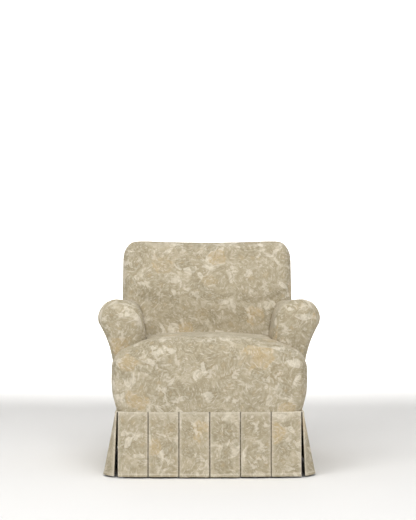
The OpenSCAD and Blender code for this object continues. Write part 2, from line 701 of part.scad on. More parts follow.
// The outermost springs pass outside the back posts
spring_reach = back_post_x + spring_w / 2 + step;
function spring_place(k) = spring_reach * (2 * k / (spring_count - 1) - 1);
function spring_z_at(t) = spring_end_z + spring_rise * sin(180 * t);
function spring_point(x, t) = [
    x + (spring_w - wire_d) / 2 * sin(180 * spring_bends * t),
    spring_y0 + t * (spring_y1 - spring_y0),
    spring_z_at(t)];
module wire(points) {
    last = len(points) - 1;
    sides = 4;
    rings = [for (i = [0 : last]) let (
        t = points[min(i + 1, last)] - points[max(i - 1, 0)],
        n = [t[1], -t[0], 0] / norm([t[1], -t[0]]))
        for (a = [0 : 360 / sides : 359]) points[i] + wire_d / 2 * (cos(a) * n + [0, 0, sin(a)])];
    polyhedron(rings, concat(
        [[for (a = [sides - 1 : -1 : 0]) a]], [[for (a = [0 : sides - 1]) last * sides + a]],
        [for (i = [0 : last - 1], a = [0 : sides - 1]) let (
            p = i * sides + a, q = i * sides + (a + 1) % sides) each [
            [p, q + sides, p + sides], [p, q, q + sides]]]));
}
module seat_springs() {
    steps = spring_bends * bend_steps;
    color("gray") for (k = [0 : spring_count - 1])
        wire([for (i = [0 : steps]) spring_point(spring_place(k), i / steps)]);
}
module spring_clips() {
    clip = [spring_w / 2, rail_t / 2, wire_d - soft_gap];
    color("silver") for (k = [0 : spring_count - 1], y = [spring_y0, spring_y1])
        translate([spring_place(k) - clip[0] / 2, y - clip[1] / 2, rail_top]) cube(clip);
}
module seat_platform() {
    half = rail_in_x + rail_t / 2;
    far = (back_rail_y - step - spring_y0) / (spring_y1 - spring_y0);
    rows = function (t) [for (s = [1 : -0.5 : -1]) [for (k = [0 : far / 8 : far + soft_gap / chair_d]) [
        s * half,
        spring_y0 + k * (spring_y1 - spring_y0),
        spring_z_at(k) + wire_d / 2 + soft_gap + t]]];
    color("peru") sheet_solid(rows(webbing_t), rows(0));
}
module back_webbing() {
    inner = back_post_x;
    low = foam_z;
    high = crest_z;
    strap_shares = [-0.6, -0.2, 0.2, 0.6];
    rows_shares = [0.25, 0.5, 0.75];
    color("peru") {
        for (s = strap_shares) lean_bar(
            s * inner - strap_w / 2, s * inner + strap_w / 2, low, high, post_far, post_far + webbing_t);
        for (s = rows_shares) let (z = low + s * (high - low)) lean_bar(
            -inner, inner, z - strap_w / 2, z + strap_w / 2,
            post_far + webbing_t / 2, post_far + 1.5 * webbing_t);
    }
}

// Under the skirt

strip_t = cloth_t;
strip_h = 7 * cloth_t;
strip_z = seam_h - cloth_t;
module tack_strips() {
    color("white") {
        box_between([-frame_x, frame_y - strip_t, strip_z - strip_h], [frame_x, frame_y, strip_z]);
        both_sides() box_between(
            [frame_x, front_rail_in_y, strip_z - strip_h],
            [frame_x + strip_t, back_rail_y + rail_t, strip_z]);
        box_between(
            [-rail_in_x, back_rail_y + rail_t, strip_z - strip_h],
            [rail_in_x, back_rail_y + rail_t + strip_t, strip_z]);
    }
}
module dust_cover() {
    room = leg_s + 2 * soft_gap;
    edge = rail_t / 4;
    color("dimgray") difference() {
        box_between(
            [-frame_x + edge, frame_y + edge, rail_z - dust_t],
            [frame_x - edge, back_rail_y + rail_t - edge, rail_z]);
        at_legs() translate([-room / 2, -room / 2, rail_z - dust_t - over])
            cube([room, room, dust_t + 2 * over]);
    }
}
module staples() {
    staple = [11, 1.2, 0.6];
    count = 9;
    rail_mid_x = (rail_in_x + frame_x) / 2;
    reach_x = leg_x - leg_s;
    reach_y = (leg_back_y - leg_front_y) / 2 - leg_s;
    mid_y = (leg_back_y + leg_front_y) / 2;
    z = rail_z - dust_t - staple[2];
    color("silver") for (k = [0 : count - 1]) let (s = 2 * k / (count - 1) - 1) {
        for (y = [frame_y + rail_t / 2, back_rail_y + rail_t / 2])
            translate([s * reach_x - staple[0] / 2, y - staple[1] / 2, z]) cube(staple);
        for (sx = [-1, 1])
            translate([sx * rail_mid_x - staple[1] / 2, mid_y + s * reach_y - staple[0] / 2, z])
                cube([staple[1], staple[0], staple[2]]);
    }
}

front_rail();
back_rail();
side_rail_left();
side_rail_right();
corner_blocks();
block_screws();
leg_front_left();
leg_front_right();
leg_back_left();
leg_back_right();
leg_bolts();
glides();
arm_post_left();
arm_post_right();
rear_arm_post_left();
rear_arm_post_right();
arm_rail_left();
arm_rail_right();
arm_tack_rail_left();
arm_tack_rail_right();
back_post_left();
back_post_right();
wing_frame_left();
wing_frame_right();
crest_rail();
back_tack_rail();
seat_springs();
spring_clips();
seat_platform();
back_webbing();
seat_foam();
back_foam();
arm_foam_left();
arm_foam_right();
seat_cover();
back_cover();
outside_back();
arm_cover_left();
arm_cover_right();
outside_arm_left();
outside_arm_right();
skirt_front();
skirt_left();
skirt_right();
skirt_back();
tack_strips();
dust_cover();
staples();
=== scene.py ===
"""Looks of the upholstered armchair: printed covers, pleated skirt, wood, steel, floor, light and camera."""

import json
import math

import bmesh
import bpy
import numpy as np
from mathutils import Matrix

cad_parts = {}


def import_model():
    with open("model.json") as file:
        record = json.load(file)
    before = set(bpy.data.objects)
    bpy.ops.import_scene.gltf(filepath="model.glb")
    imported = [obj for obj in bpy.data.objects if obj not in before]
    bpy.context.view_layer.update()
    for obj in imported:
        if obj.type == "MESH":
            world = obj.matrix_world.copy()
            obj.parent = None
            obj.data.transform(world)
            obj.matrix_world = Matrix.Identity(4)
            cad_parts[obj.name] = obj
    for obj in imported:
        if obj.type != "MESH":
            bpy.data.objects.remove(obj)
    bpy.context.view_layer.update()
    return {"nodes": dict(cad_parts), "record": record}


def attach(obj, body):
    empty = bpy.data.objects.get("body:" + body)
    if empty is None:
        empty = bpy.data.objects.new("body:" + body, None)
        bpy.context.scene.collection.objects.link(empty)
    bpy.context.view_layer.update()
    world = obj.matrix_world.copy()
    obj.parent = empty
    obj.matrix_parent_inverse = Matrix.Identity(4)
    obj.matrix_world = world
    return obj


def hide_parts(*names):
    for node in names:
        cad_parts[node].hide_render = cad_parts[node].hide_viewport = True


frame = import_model()

# Sizes of the CAD model, in millimetres
CHAIR_D, CHAIR_H = 850.0, 830.0
SEAT_W, SEAT_H, SEAT_FALL, EAR_FALL, EAR_D = 680.0, 490.0, 16.0, 28.0, 105.0
EAR_DROP, EAR_DROP_SHARE, ROLL_H, ROLL_D, EAR_EDGE = 36.0, 0.66, 75.0, 78.0, 35.0
FRONT_SWELL, FRONT_BOW, SWELL_H, SIDE_TUCK = 12.0, 10.0, 330.0, 18.0
ARMS_GAP, ARM_SPLAY, ARM_SPAN, ARM_H, ARM_FALL, ARM_REAR_W = 452.0, 14.0, 794.0, 616.0, 20.0, 116.0
ARM_ROLL_H, SOCK_D, ARM_SEAM_H, ARM_SEAM_FRONT_H = 98.0, 50.0, 500.0, 394.0
BACK_W, FRONT_LEAN, REAR_LEAN, BACK_T, BACK_CROWN = 672.0, 18.0, 8.7, 208.6, 25.0
TOP_ROLL_H, TOP_ROLL_D, BACK_EDGE, CORNER_DROP, TOP_DIP = 58.0, 75.0, 45.0, 16.0, 5.0
SEAM_H, HEM_H, PLEAT_GAP, PLEAT_TUCK, PLEAT_LAYER = 229.0, 6.0, 5.0, 18.0, 5.0
FRONT_PLEATS, SIDE_PLEATS, BACK_PLEATS = 6, 7, 6
FRONT_FLARE, SIDE_FLARE, BACK_FLARE = 10.0, 41.0, 28.0
CORNER_SWING, CORNER_SHARE = 52.0, 0.2
COVER_T, CLOTH_T, SOFT_GAP, FOAM_Z = 5.0, 2.0, 0.3, 305.7
OUTER_BACK_T, FOAM_BACK_T = 5.3, 58.6
ARM_ROLL = [
    (0, 1.29), (0.01, 0.97), (0.05, 0.58), (0.14, 0.28), (0.29, 0.14), (0.42, 0.05), (0.58, 0),
    (0.7, 0.02), (0.85, 0.14), (0.95, 0.36), (1, 0.62), (0.985, 0.84),
]

FRONT_Y, REAR_Y = -CHAIR_D / 2, CHAIR_D / 2
EAR_X, BACK_X, ARM_IN = SEAT_W / 2, BACK_W / 2, ARMS_GAP / 2
ARM_W = ARM_SPAN / 2 - ARM_IN
TONGUE_X = ARM_IN - SOFT_GAP
EAR_Y = FRONT_Y + EAR_D
ARM_Y = EAR_Y + SOCK_D
FOOT_Z = SEAM_H + SOFT_GAP
WING_Z = ARM_H - ARM_FALL
SEAM_X = EAR_X - SIDE_TUCK

# Soft forms that the scene alone has, in millimetres: how deep covers are tucked in where they meet others,
# how far a tuck reaches, how much the flat sides swell, and how high the ripples in the cloth are
EAR_TUCK, SEAT_TUCK, BACK_TUCK, TUCK_REACH, WING_TUCK_REACH = 4.0, 7.0, 3.5, 5.0, 6.0
EAR_SWELL, ARM_FRONT_SWELL, PANEL_SAG, GATHER_H, SHEET_T = 3.5, 9.0, 3.0, 1.9, 1.6
# The arms' inner shoulders are set out by these shares of their width, in front and more towards the rear
SHOULDER_OUT, REAR_SHOULDER_OUT, SHOULDER_AT, SHOULDER_SPREAD = 0.02, 0.1, 0.12, 0.14


# Shape of the seat, the back and the arms, as in the CAD model

def clamp(v, low=0.0, high=1.0):
    return max(low, min(high, v))


def tan_deg(a):
    return math.tan(math.radians(a))


def width_share(z):
    """The body's width at a height as a share of the seat's; it narrows towards the skirt's seam."""
    return 1 - SIDE_TUCK / EAR_X * (1 - clamp((z - SEAM_H) / (SWELL_H - SEAM_H))) ** 2


def front_at(x, z):
    """Front of the seat, bowed across and tucked in towards the skirt's seam."""
    tuck = (1 - clamp((z - SEAM_H) / (SWELL_H - SEAM_H))) ** 2
    return FRONT_Y + FRONT_BOW * (x / EAR_X) ** 2 + FRONT_SWELL * tuck


def back_front_at(z):
    """Front of the back, raked."""
    return BACK_Y + (z - SEAT_H) * tan_deg(FRONT_LEAN)


def rear_at(z):
    """Rear plane of the chair, which leans forward below the top."""
    return REAR_Y - max(0.0, CHAIR_H - TOP_ROLL_H / 3 - z) * tan_deg(REAR_LEAN)


BACK_Y = rear_at(SEAT_H) - BACK_T


def splayed(x, y, z):
    """The arms' inner walls splay towards the rear, and the seat and the back widen with them."""
    share = abs(x) / TONGUE_X if abs(x) <= TONGUE_X else max(0.0, (SEAM_X - abs(x)) / (SEAM_X - TONGUE_X))
    return x + math.copysign(share, x) * ARM_SPLAY * (y - EAR_Y) / (BACK_Y - EAR_Y), y, z


def spaced(a, b, n):
    """n + 1 even values from a to b."""
    return [a + (b - a) * i / n for i in range(n + 1)]


def smooth_curve(points, per_span):
    """A Catmull-Rom curve through the points."""
    p = [np.array(q, float) for q in points]
    p = [2 * p[0] - p[1]] + p + [2 * p[-1] - p[-2]]
    out = []
    for i in range(1, len(p) - 2):
        a, b, c, d = p[i - 1 : i + 3]
        for k in range(per_span):
            t = k / per_span
            out.append(
                0.5 * (2 * b + (c - a) * t + (2 * a - 5 * b + 4 * c - d) * t**2 + (3 * b - a - 3 * c + d) * t**3)
            )
    return out + [p[-2]]


def edge_stations(outer, radius, n):
    """Places across a rounded side, outermost first, with how far the section is drawn in there."""
    angles = [math.radians(a) for a in spaced(90, 0, n)]
    return [(outer - radius * (1 - math.sin(a)), radius * (1 - math.cos(a))) for a in angles]


# Ripples that keep the covers from looking turned on a lathe

def ripple(x, y, z, size, seed):
    """Smooth waviness from a few crossed waves, from -1 to 1."""
    total = 0.0
    for k in range(4):
        a = 1.7 * k + seed
        d = (math.cos(a), math.sin(1.3 * a), math.cos(2.1 * a + 0.6))
        total += math.sin((d[0] * x + d[1] * y + d[2] * z) * 6.28 / (size * (1 + 0.37 * k)) + 2.4 * seed + k)
    return total / 4


# Mesh making

def column_runs(grid):
    """Length along each row up to each point."""
    steps = np.linalg.norm(np.diff(grid, axis=1), axis=2)
    return np.concatenate([np.zeros((len(grid), 1)), np.cumsum(steps, axis=1)], axis=1)


def folded_end(row, n):
    """Rows that fold an end row's two halves together along the line between them."""
    back = row[::-1]
    return [row + (back - row) * 0.5 * k / n for k in range(1, n + 1)]


def with_folded_ends(grid, n):
    """A grid whose first and last rows are each folded shut, in n rows."""
    first = folded_end(grid[0], n)[::-1]
    last = folded_end(grid[-1], n)
    return np.array(first + list(grid) + last)


def mesh_piece(name, grids, joins, material, painted_highlight=None):
    """A mesh from grids of points in millimetres, each with its UVs in metres; joins are closed strips."""
    verts, uvs, faces, starts = [], [], [], []
    for points, uv in grids:
        starts.append(len(verts))
        verts += [tuple(p) for row in points for p in row]
        uvs += [tuple(p) for row in uv for p in row]
    for (points, _), start in zip(grids, starts):
        rows, cols = len(points), len(points[0])
        for i in range(rows - 1):
            for j in range(cols - 1):
                a = start + i * cols + j
                faces.append((a, a + 1, a + cols + 1, a + cols))
    for strip_a, strip_b in joins:
        for k in range(len(strip_a) - 1):
            faces.append((strip_a[k], strip_a[k + 1], strip_b[k + 1], strip_b[k]))
    mesh = bpy.data.meshes.new(name)
    mesh.from_pydata([(x / 1000, y / 1000, z / 1000) for x, y, z in verts], [], faces)
    layer = mesh.uv_layers.new(name="print")
    for poly in mesh.polygons:
        for loop in poly.loop_indices:
            layer.data[loop].uv = uvs[mesh.loops[loop].vertex_index]
    # The skirt's painted highlight goes in as a float attribute that the cloth's colour reads
    if painted_highlight is not None:
        mesh.attributes.new("painted_highlight", "FLOAT", "POINT").data.foreach_set("value", np.array(painted_highlight, np.float32))
    bm = bmesh.new()
    bm.from_mesh(mesh)
    bmesh.ops.remove_doubles(bm, verts=bm.verts, dist=1e-5)
    bmesh.ops.dissolve_degenerate(bm, edges=bm.edges, dist=1e-6)
    bmesh.ops.recalc_face_normals(bm, faces=bm.faces)
    bm.to_mesh(mesh)
    bm.free()
    mesh.polygons.foreach_set("use_smooth", [True] * len(mesh.polygons))
    obj = bpy.data.objects.new(name, mesh)
    bpy.context.scene.collection.objects.link(obj)
    mesh.materials.append(material)
    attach(obj, "root")
    return obj


# Cloth print and other materials

def srgb(r, g, b):
    """A colour from its display values, 0 to 255."""
    return tuple(((c / 255 + 0.055) / 1.055) ** 2.4 if c > 10 else c / 255 / 12.92 for c in (r, g, b)) + (1.0,)


class Nodes:
    """Short calls that add nodes to a material and return their outputs."""

    def __init__(self, name):
        self.mat = bpy.data.materials.new(name)
        self.mat.use_nodes = True
        self.tree = self.mat.node_tree
        self.shader = self.tree.nodes["Principled BSDF"]

    def put(self, socket, value):
        if isinstance(value, bpy.types.NodeSocket):
            self.tree.links.new(value, socket)
        else:
            socket.default_value = value

    def node(self, kind, props=None, **inputs):
        n = self.tree.nodes.new(kind)
        for k, v in (props or {}).items():
            setattr(n, k, v)
        for k, v in inputs.items():
            self.put(n.inputs[int(k[1:]) if k[0] == "i" and k[1:].isdigit() else k.replace("_", " ")], v)
        return n

    def math(self, op, a, b=0.0, c=0.0, cut=False):
        return self.node("ShaderNodeMath", {"operation": op, "use_clamp": cut}, i0=a, i1=b, i2=c).outputs[0]

    def vec(self, op, a, b=(0, 0, 0)):
        n = self.node("ShaderNodeVectorMath", {"operation": op}, i0=a, i1=b)
        return n.outputs["Value"] if op in ("LENGTH", "DOT_PRODUCT") else n.outputs["Vector"]

    def scaled(self, v, s):
        return self.node("ShaderNodeVectorMath", {"operation": "SCALE"}, i0=v, Scale=s).outputs["Vector"]

    def split(self, v):
        n = self.node("ShaderNodeSeparateXYZ", i0=v)
        return n.outputs[0], n.outputs[1], n.outputs[2]

    def join(self, x, y, z=0.0):
        return self.node("ShaderNodeCombineXYZ", i0=x, i1=y, i2=z).outputs[0]

    def mix(self, f, a, b, blend="MIX"):
        n = self.node("ShaderNodeMix", {"data_type": "RGBA", "blend_type": blend})
        self.put(n.inputs[0], f)
        self.put(n.inputs[6], a)
        self.put(n.inputs[7], b)
        return n.outputs[2]

    def step(self, v, low, high, out_low=0.0, out_high=1.0):
        """A smooth rise from low to high."""
        n = self.node("ShaderNodeMapRange", {"interpolation_type": "SMOOTHSTEP"}, i0=v)
        for k, x in enumerate((low, high, out_low, out_high)):
            self.put(n.inputs[k + 1], x)
        return n.outputs[0]

    def noise(self, v, scale, detail=2.0, rough=0.5, dims="3D"):
        n = self.node("ShaderNodeTexNoise", {"noise_dimensions": dims}, Scale=scale, Detail=detail, Roughness=rough)
        self.put(n.inputs["Vector"], v)
        return n.outputs["Fac"]

    def bump(self, height, distance, strength=1.0, normal=None):
        n = self.node("ShaderNodeBump", Strength=strength, Distance=distance, Height=height)
        if normal is not None:
            self.put(n.inputs["Normal"], normal)
        return n.outputs[0]

    def finish(self, color, rough, normal=None, **consts):
        """Joins colour, roughness and normal to the shader, sets its other values, and returns the material."""
        self.put(self.shader.inputs["Base Color"], color)
        self.put(self.shader.inputs["Roughness"], rough)
        if normal is not None:
            self.put(self.shader.inputs["Normal"], normal)
        for k, v in consts.items():
            self.shader.inputs[k.replace("_", " ")].default_value = v
        return self.mat


def motif_cells(n, uv, cell, spread, shift):
    """Local coordinates of a scattered motif, in cell widths, turned at random, and two random values for it."""
    moved = n.vec("ADD", uv, shift)
    v = n.node("ShaderNodeTexVoronoi", {"voronoi_dimensions": "2D"}, Scale=1 / cell, Randomness=spread)
    n.put(v.inputs["Vector"], moved)
    local = n.scaled(n.vec("SUBTRACT", moved, v.outputs["Position"]), 1 / cell)
    r, g, b = n.split(v.outputs["Color"])
    x, y, _ = n.split(local)
    angle = n.math("MULTIPLY", r, 6.2832)
    c, s = n.math("COSINE", angle), n.math("SINE", angle)
    tx = n.math("ADD", n.math("MULTIPLY", x, c), n.math("MULTIPLY", y, s))
    ty = n.math("SUBTRACT", n.math("MULTIPLY", y, c), n.math("MULTIPLY", x, s))
    return tx, ty, g, b


def blossom(n, tx, ty, rand, petals, size):
    """A layered blossom: its whole disc, its petals' shading from 0 to 1, its heart, and the share of its radius."""
    r = n.math("SQRT", n.math("ADD", n.math("MULTIPLY", tx, tx), n.math("MULTIPLY", ty, ty)))
    a = n.math("ARCTAN2", ty, tx)
    lobes = n.math("ABSOLUTE", n.math("COSINE", n.math("MULTIPLY", a, petals / 2)))
    edge = n.math("MULTIPLY", n.math("MULTIPLY_ADD", lobes, 0.24, 0.76), n.math("MULTIPLY_ADD", rand, 0.3, size))
    share = n.math("DIVIDE", r, edge)
    disc = n.step(share, 1.06, 0.84)
    waves = n.math("COSINE", n.math("MULTIPLY", a, petals))
    swirl = n.math("ADD", n.math("MULTIPLY", share, 12.0), n.math("MULTIPLY", waves, 1.9))
    petal = n.math("MULTIPLY_ADD", n.math("COSINE", swirl), 0.5, 0.5)
    return disc, petal, n.step(share, 0.3, 0.1), share


def leaf(n, tx, ty, rand, length, width):
    """A pointed leaf, and the veins in it."""
    reach = n.math("MULTIPLY", tx, 1 / length)
    bend = n.math("MULTIPLY", n.math("MULTIPLY", reach, reach), n.math("MULTIPLY_ADD", rand, 0.5, -0.25))
    across = n.math("ABSOLUTE", n.math("SUBTRACT", n.math("MULTIPLY", ty, 1 / width), bend))
    belly = n.math("SUBTRACT", 1.0, n.math("MULTIPLY", reach, reach))
    body = n.step(n.math("SUBTRACT", across, belly), 0.06, -0.26)
    veins = n.math("COSINE", n.math("MULTIPLY", n.math("SUBTRACT", reach, n.math("MULTIPLY", across, 0.45)), 20.0))
    mid = n.step(across, 0.12, 0.03)
    return body, n.math("MULTIPLY", body, n.math("MAXIMUM", mid, n.step(veins, 0.5, 0.98, 0.0, 0.6)))


def strokes(n, uv, cell, shift):
    """Short brush strokes whose way changes from patch to patch."""
    tx, ty, g, _ = motif_cells(n, uv, cell, 1.0, shift)
    at = n.join(n.math("MULTIPLY", tx, 2.2), n.math("MULTIPLY_ADD", ty, 9.0, n.math("MULTIPLY", g, 40.0)))
    return n.noise(at, 1.0, 3.0, 0.6, "2D")


THREAD_PITCH = 0.0011


def print_cloth(name):
    """A printed linen: scattered blossoms, leaves and brush strokes, tone on tone, over a woven ground."""
    n = Nodes(name)
    raw = n.node("ShaderNodeUVMap", {"uv_map": "print"}).outputs[0]
    sway = raw
    for scale, amount in ((13.0, 0.026), (55.0, 0.0055)):
        wob = n.node("ShaderNodeTexNoise", {"noise_dimensions": "2D"}, Scale=scale, Detail=2.0, Roughness=0.55)
        n.put(wob.inputs["Vector"], raw)
        sway = n.vec("ADD", sway, n.scaled(n.vec("SUBTRACT", wob.outputs["Color"], (0.5, 0.5, 0.5)), amount))
    uv = n.vec("MULTIPLY", sway, (1, 1, 0))
    ground, shade, pale = srgb(186, 174, 149), srgb(168, 156, 130), srgb(204, 194, 172)
    cream, olive, ochre = srgb(227, 219, 202), srgb(150, 139, 113), srgb(188, 166, 127)
    col = n.mix(n.step(n.noise(uv, 8.0, 4.0, 0.6, "2D"), 0.36, 0.64), ground, shade)
    clouds = n.noise(n.vec("ADD", uv, (3.1, 1.7, 0)), 20.0, 4.0, 0.62, "2D")
    col = n.mix(n.step(clouds, 0.48, 0.68, 0.0, 0.7), col, pale)
    # Leaves in three sizes
    for cell, length, width, shift, inks in (
        (0.066, 0.60, 0.27, (0.31, 0.17, 0), (olive, pale)),
        (0.043, 0.62, 0.25, (1.13, 0.71, 0), (shade, cream)),
        (0.055, 0.66, 0.18, (2.37, 1.91, 0), (olive, cream)),
    ):
        tx, ty, g, b = motif_cells(n, uv, cell, 0.9, shift)
        body, veins = leaf(n, tx, ty, g, length, width)
        some = n.step(b, 0.3, 0.36)
        ink = n.mix(n.step(g, 0.5, 0.6), inks[0], inks[1])
        col = n.mix(n.math("MULTIPLY", n.math("MULTIPLY", body, some), 0.62), col, ink)
        col = n.mix(n.math("MULTIPLY", n.math("MULTIPLY", veins, some), 0.4), col, pale)
    # Blossoms in two sizes; few of them are ochre
    for cell, petals, size, shift, amount in (
        (0.104, 5, 0.38, (0.53, 0.29, 0), 0.78),
        (0.071, 7, 0.34, (1.71, 2.43, 0), 0.68),
    ):
        tx, ty, g, b = motif_cells(n, uv, cell, 0.8, shift)
        disc, petal, heart, share = blossom(n, tx, ty, g, petals, size)
        some = n.step(b, 0.2, 0.26)
        ink = n.mix(n.step(b, 0.89, 0.93), n.mix(n.step(g, 0.35, 0.65), olive, shade), ochre)
        ink = n.mix(n.math("MULTIPLY", petal, n.step(share, 0.0, 1.0, 0.25, 0.6)), ink, pale)
        col = n.mix(n.math("MULTIPLY", n.math("MULTIPLY", disc, some), amount), col, ink)
        col = n.mix(n.math("MULTIPLY", n.math("MULTIPLY", heart, some), 0.3), col, ochre)
    # Brush strokes and broken patches of cream ink
    for cell, shift, ink, low, amount in (
        (0.066, (4.1, 3.3, 0), olive, 0.53, 0.4),
        (0.054, (6.7, 0.9, 0), cream, 0.54, 0.46),
        (0.072, (8.3, 5.9, 0), shade, 0.52, 0.35),
    ):
        col = n.mix(n.step(strokes(n, uv, cell, shift), low, low + 0.16, 0.0, amount), col, ink)
    drift = n.step(n.noise(n.vec("ADD", uv, (9.3, 2.2, 0)), 11.0, 2.0, 0.5, "2D"), 0.42, 0.62)
    patch = n.step(n.noise(n.vec("ADD", uv, (5.3, 2.9, 0)), 32.0, 4.0, 0.62, "2D"), 0.54, 0.64)
    col = n.mix(n.math("MULTIPLY", n.math("MULTIPLY", drift, patch), 0.55), col, cream)
    flecks = n.step(n.noise(uv, 120.0, 3.0, 0.6, "2D"), 0.58, 0.74, 0.0, 0.3)
    col = n.mix(flecks, col, cream)
    specks = n.step(n.noise(n.vec("ADD", uv, (1.9, 4.4, 0)), 150.0, 3.0, 0.6, "2D"), 0.58, 0.72, 0.0, 0.24)
    col = n.mix(specks, col, olive)
    # Weave: two crossing sets of slubby threads
    x, y, _ = n.split(raw)
    along_thread = n.join(n.math("MULTIPLY", x, 40.0), n.math("MULTIPLY", y, 700.0))
    slub = n.math("MULTIPLY_ADD", n.noise(along_thread, 1.0, 1.0, 0.5, "2D"), 0.5, 0.75)
    turns = 6.2832 / THREAD_PITCH
    warp = n.math("MULTIPLY_ADD", n.math("SINE", n.math("MULTIPLY", x, turns)), 0.5, 0.5)
    weft = n.math("MULTIPLY_ADD", n.math("SINE", n.math("MULTIPLY", y, turns)), 0.5, 0.5)
    checker = n.math("MULTIPLY", n.math("MAXIMUM", warp, weft), slub)
    col = n.mix(n.math("MULTIPLY_ADD", checker, -0.14, 0.14, True), col, srgb(118, 107, 84), "MULTIPLY")
    # Painted highlight: the skirt's pleat edges, the line above its hem and its top seam, which the attribute marks,
    # are mixed paler towards cream
    painted_highlight = n.node("ShaderNodeAttribute", {"attribute_name": "painted_highlight"}).outputs["Fac"]
    col = n.mix(n.math("MULTIPLY", painted_highlight, 0.55), col, cream)
    rough = n.step(n.noise(uv, 60.0, 2.0, 0.5, "2D"), 0.3, 0.7, 0.82, 0.94)
    puckers = n.bump(n.noise(raw, 26.0, 3.0, 0.55, "2D"), 0.0022, 0.32)
    weave = n.bump(checker, 0.00022, 0.55, puckers)
    return n.finish(
        col, rough, weave, Sheen_Weight=0.2, Sheen_Roughness=0.45, Specular_IOR_Level=0.2,
        Sheen_Tint=srgb(236, 230, 214),
    )


cover_cloth = print_cloth("printed_linen")
skirt_cloth = print_cloth("printed_linen_skirt")


def closed_piece(name, full, folds, uv, from_y, from_z):
    """A closed mesh from a grid with folded ends; the print runs straight on around the ends."""
    caps = []
    for rows, u_end in ((full[:folds], uv[0, 0, 0]), (full[-folds:], uv[-1, 0, 0])):
        cap = np.zeros(rows.shape[:2] + (2,))
        cap[:, :, 0] = u_end + math.copysign(1.0, rows[0, 0, 0]) * (rows[:, :, 1] - from_y) / 1000
        cap[:, :, 1] = (rows[:, :, 2] - from_z) / 1000
        caps.append(cap)
    cols = full.shape[1]
    start = [i * cols for i in range(len(full))]
    end = [i + cols - 1 for i in start]
    return mesh_piece(name, [(full, np.concatenate([caps[0], uv, caps[1]]))], [(end, start)], cover_cloth)


def around_edge(x, outer, radius):
    """Distance from the middle along a section with rounded sides, for the print."""
    turn = math.asin(clamp((abs(x) - outer + radius) / radius)) * radius
    return math.copysign(min(abs(x), outer - radius) + turn, x)


# Seat: a T with a crown, a rolled front and tucked edges against the arms and the back

def ear_stop_at(x):
    """Where an ear ends against the arm's front, which is rounded on its inner side."""
    e = clamp((abs(x) - TONGUE_X + 0.5) / SOCK_D)
    return EAR_Y - SOFT_GAP + (SOCK_D - 4) * (1 - math.sqrt(1 - (1 - e) ** 2))


def seat_line(x, ear, low):
    """Section of the seat at x: up the apron's inside, down, round its front, over the top and down the rear."""
    share = abs(x) / EAR_X
    past = (share - EAR_DROP_SHARE) / (1 - EAR_DROP_SHARE)
    top = SEAT_H - EAR_FALL * share**2 - EAR_DROP * (0.5 * (past + math.sqrt(past**2 + 0.03))) ** 1.1
    z0 = top - ROLL_H
    y0 = front_at(x, SWELL_H)
    rear = back_front_at(top - SEAT_FALL) - SOFT_GAP
    fade = clamp((EAR_X - abs(x)) / (EAR_X - TONGUE_X))
    base = FOOT_Z if low else FOAM_Z
    stop = ear_stop_at(x) if ear else rear
    under = [(stop + (front_at(x, base) + COVER_T - stop) * s, base) for s in spaced(0, 1, 4)]
    inner = [(front_at(x, z) + COVER_T, z) for z in spaced(base, FOOT_Z, 3)[1:]]
    front = [(front_at(x, z), z) for z in [FOOT_Z, FOOT_Z + 1.0] + spaced(FOOT_Z + 3.0, z0, 16)[:-1]]
    roll = [(y0 + ROLL_D * (1 - math.cos(math.radians(a))), z0 + ROLL_H * math.sin(math.radians(a)))
            for a in spaced(0, 90, 18)]

    def height(y):
        s = (y - y0 - ROLL_D) / (rear - y0 - ROLL_D)
        z = top - fade * SEAT_FALL * s * s
        return z - (EAR_TUCK if ear else SEAT_TUCK) * math.exp(-(stop - y) / TUCK_REACH)

    # The ears' rows and the rows behind them share their first places, so that no crease runs between them
    run = [(y, height(y)) for y in spaced(y0 + ROLL_D, EAR_Y - SOFT_GAP, 8)[1:]]
    last = run[-1][1]
    if ear:
        run += [(y, height(y)) for y in spaced(EAR_Y - SOFT_GAP, stop, 4)[1:]]
        last = run[-1][1]
        run += [(stop, z) for z in spaced(last, base, 30)[1:]]
    else:
        run += [(y, height(y)) for y in spaced(EAR_Y - SOFT_GAP, stop, 29)[1:]]
        last = run[-1][1]
        run += [(back_front_at(z) - SOFT_GAP, z) for z in spaced(last, base, 5)[1:]]
    return under + inner + front + roll + run


def seat_grid():
    """The seat's sections from right to left, and each one's place, draw-in, and whether it is an ear or low."""
    half = [(x, e, True, x > EAR_X - EAR_EDGE * 0.2) for x, e in edge_stations(EAR_X, EAR_EDGE, 11)]
    half += [(x, 0.0, True, False) for x in spaced(EAR_X - EAR_EDGE, TONGUE_X, 12)[1:]]
    half += [(x, 0.0, False, False) for x in spaced(TONGUE_X - 0.5, TONGUE_X - 16, 5)]
    half += [(x, 0.0, False, False) for x in spaced(TONGUE_X - 16, 0, 24)[1:]]
    stations = half + [(-x, e, ear, low) for x, e, ear, low in half[-2::-1]]
    grid = []
    for x, e, ear, low in stations:
        line = np.array(seat_line(x, ear, low))
        y1, y0, z1 = line[:, 0].max(), line[:, 0].min(), line[:, 1].max()
        row = []
        for y, z in line:
            z = FOOT_Z + (z - FOOT_Z) * (1 - e / (z1 - FOOT_Z))
            y = y1 - (y1 - y) * (1 - e / (y1 - y0))
            if not ear and z > SEAT_H - 60 and y > EAR_Y:
                z -= SEAT_TUCK * math.exp(-(TONGUE_X - abs(x)) / 6.0) * clamp((y - EAR_Y) / 12)
            w = 0.9 * ripple(x, y, z, 120, 1.3) * clamp((z - SEAM_H - 30) / 60)
            row.append(splayed(x * width_share(z), y, z + w))
        grid.append(row)
    return np.array(grid), stations


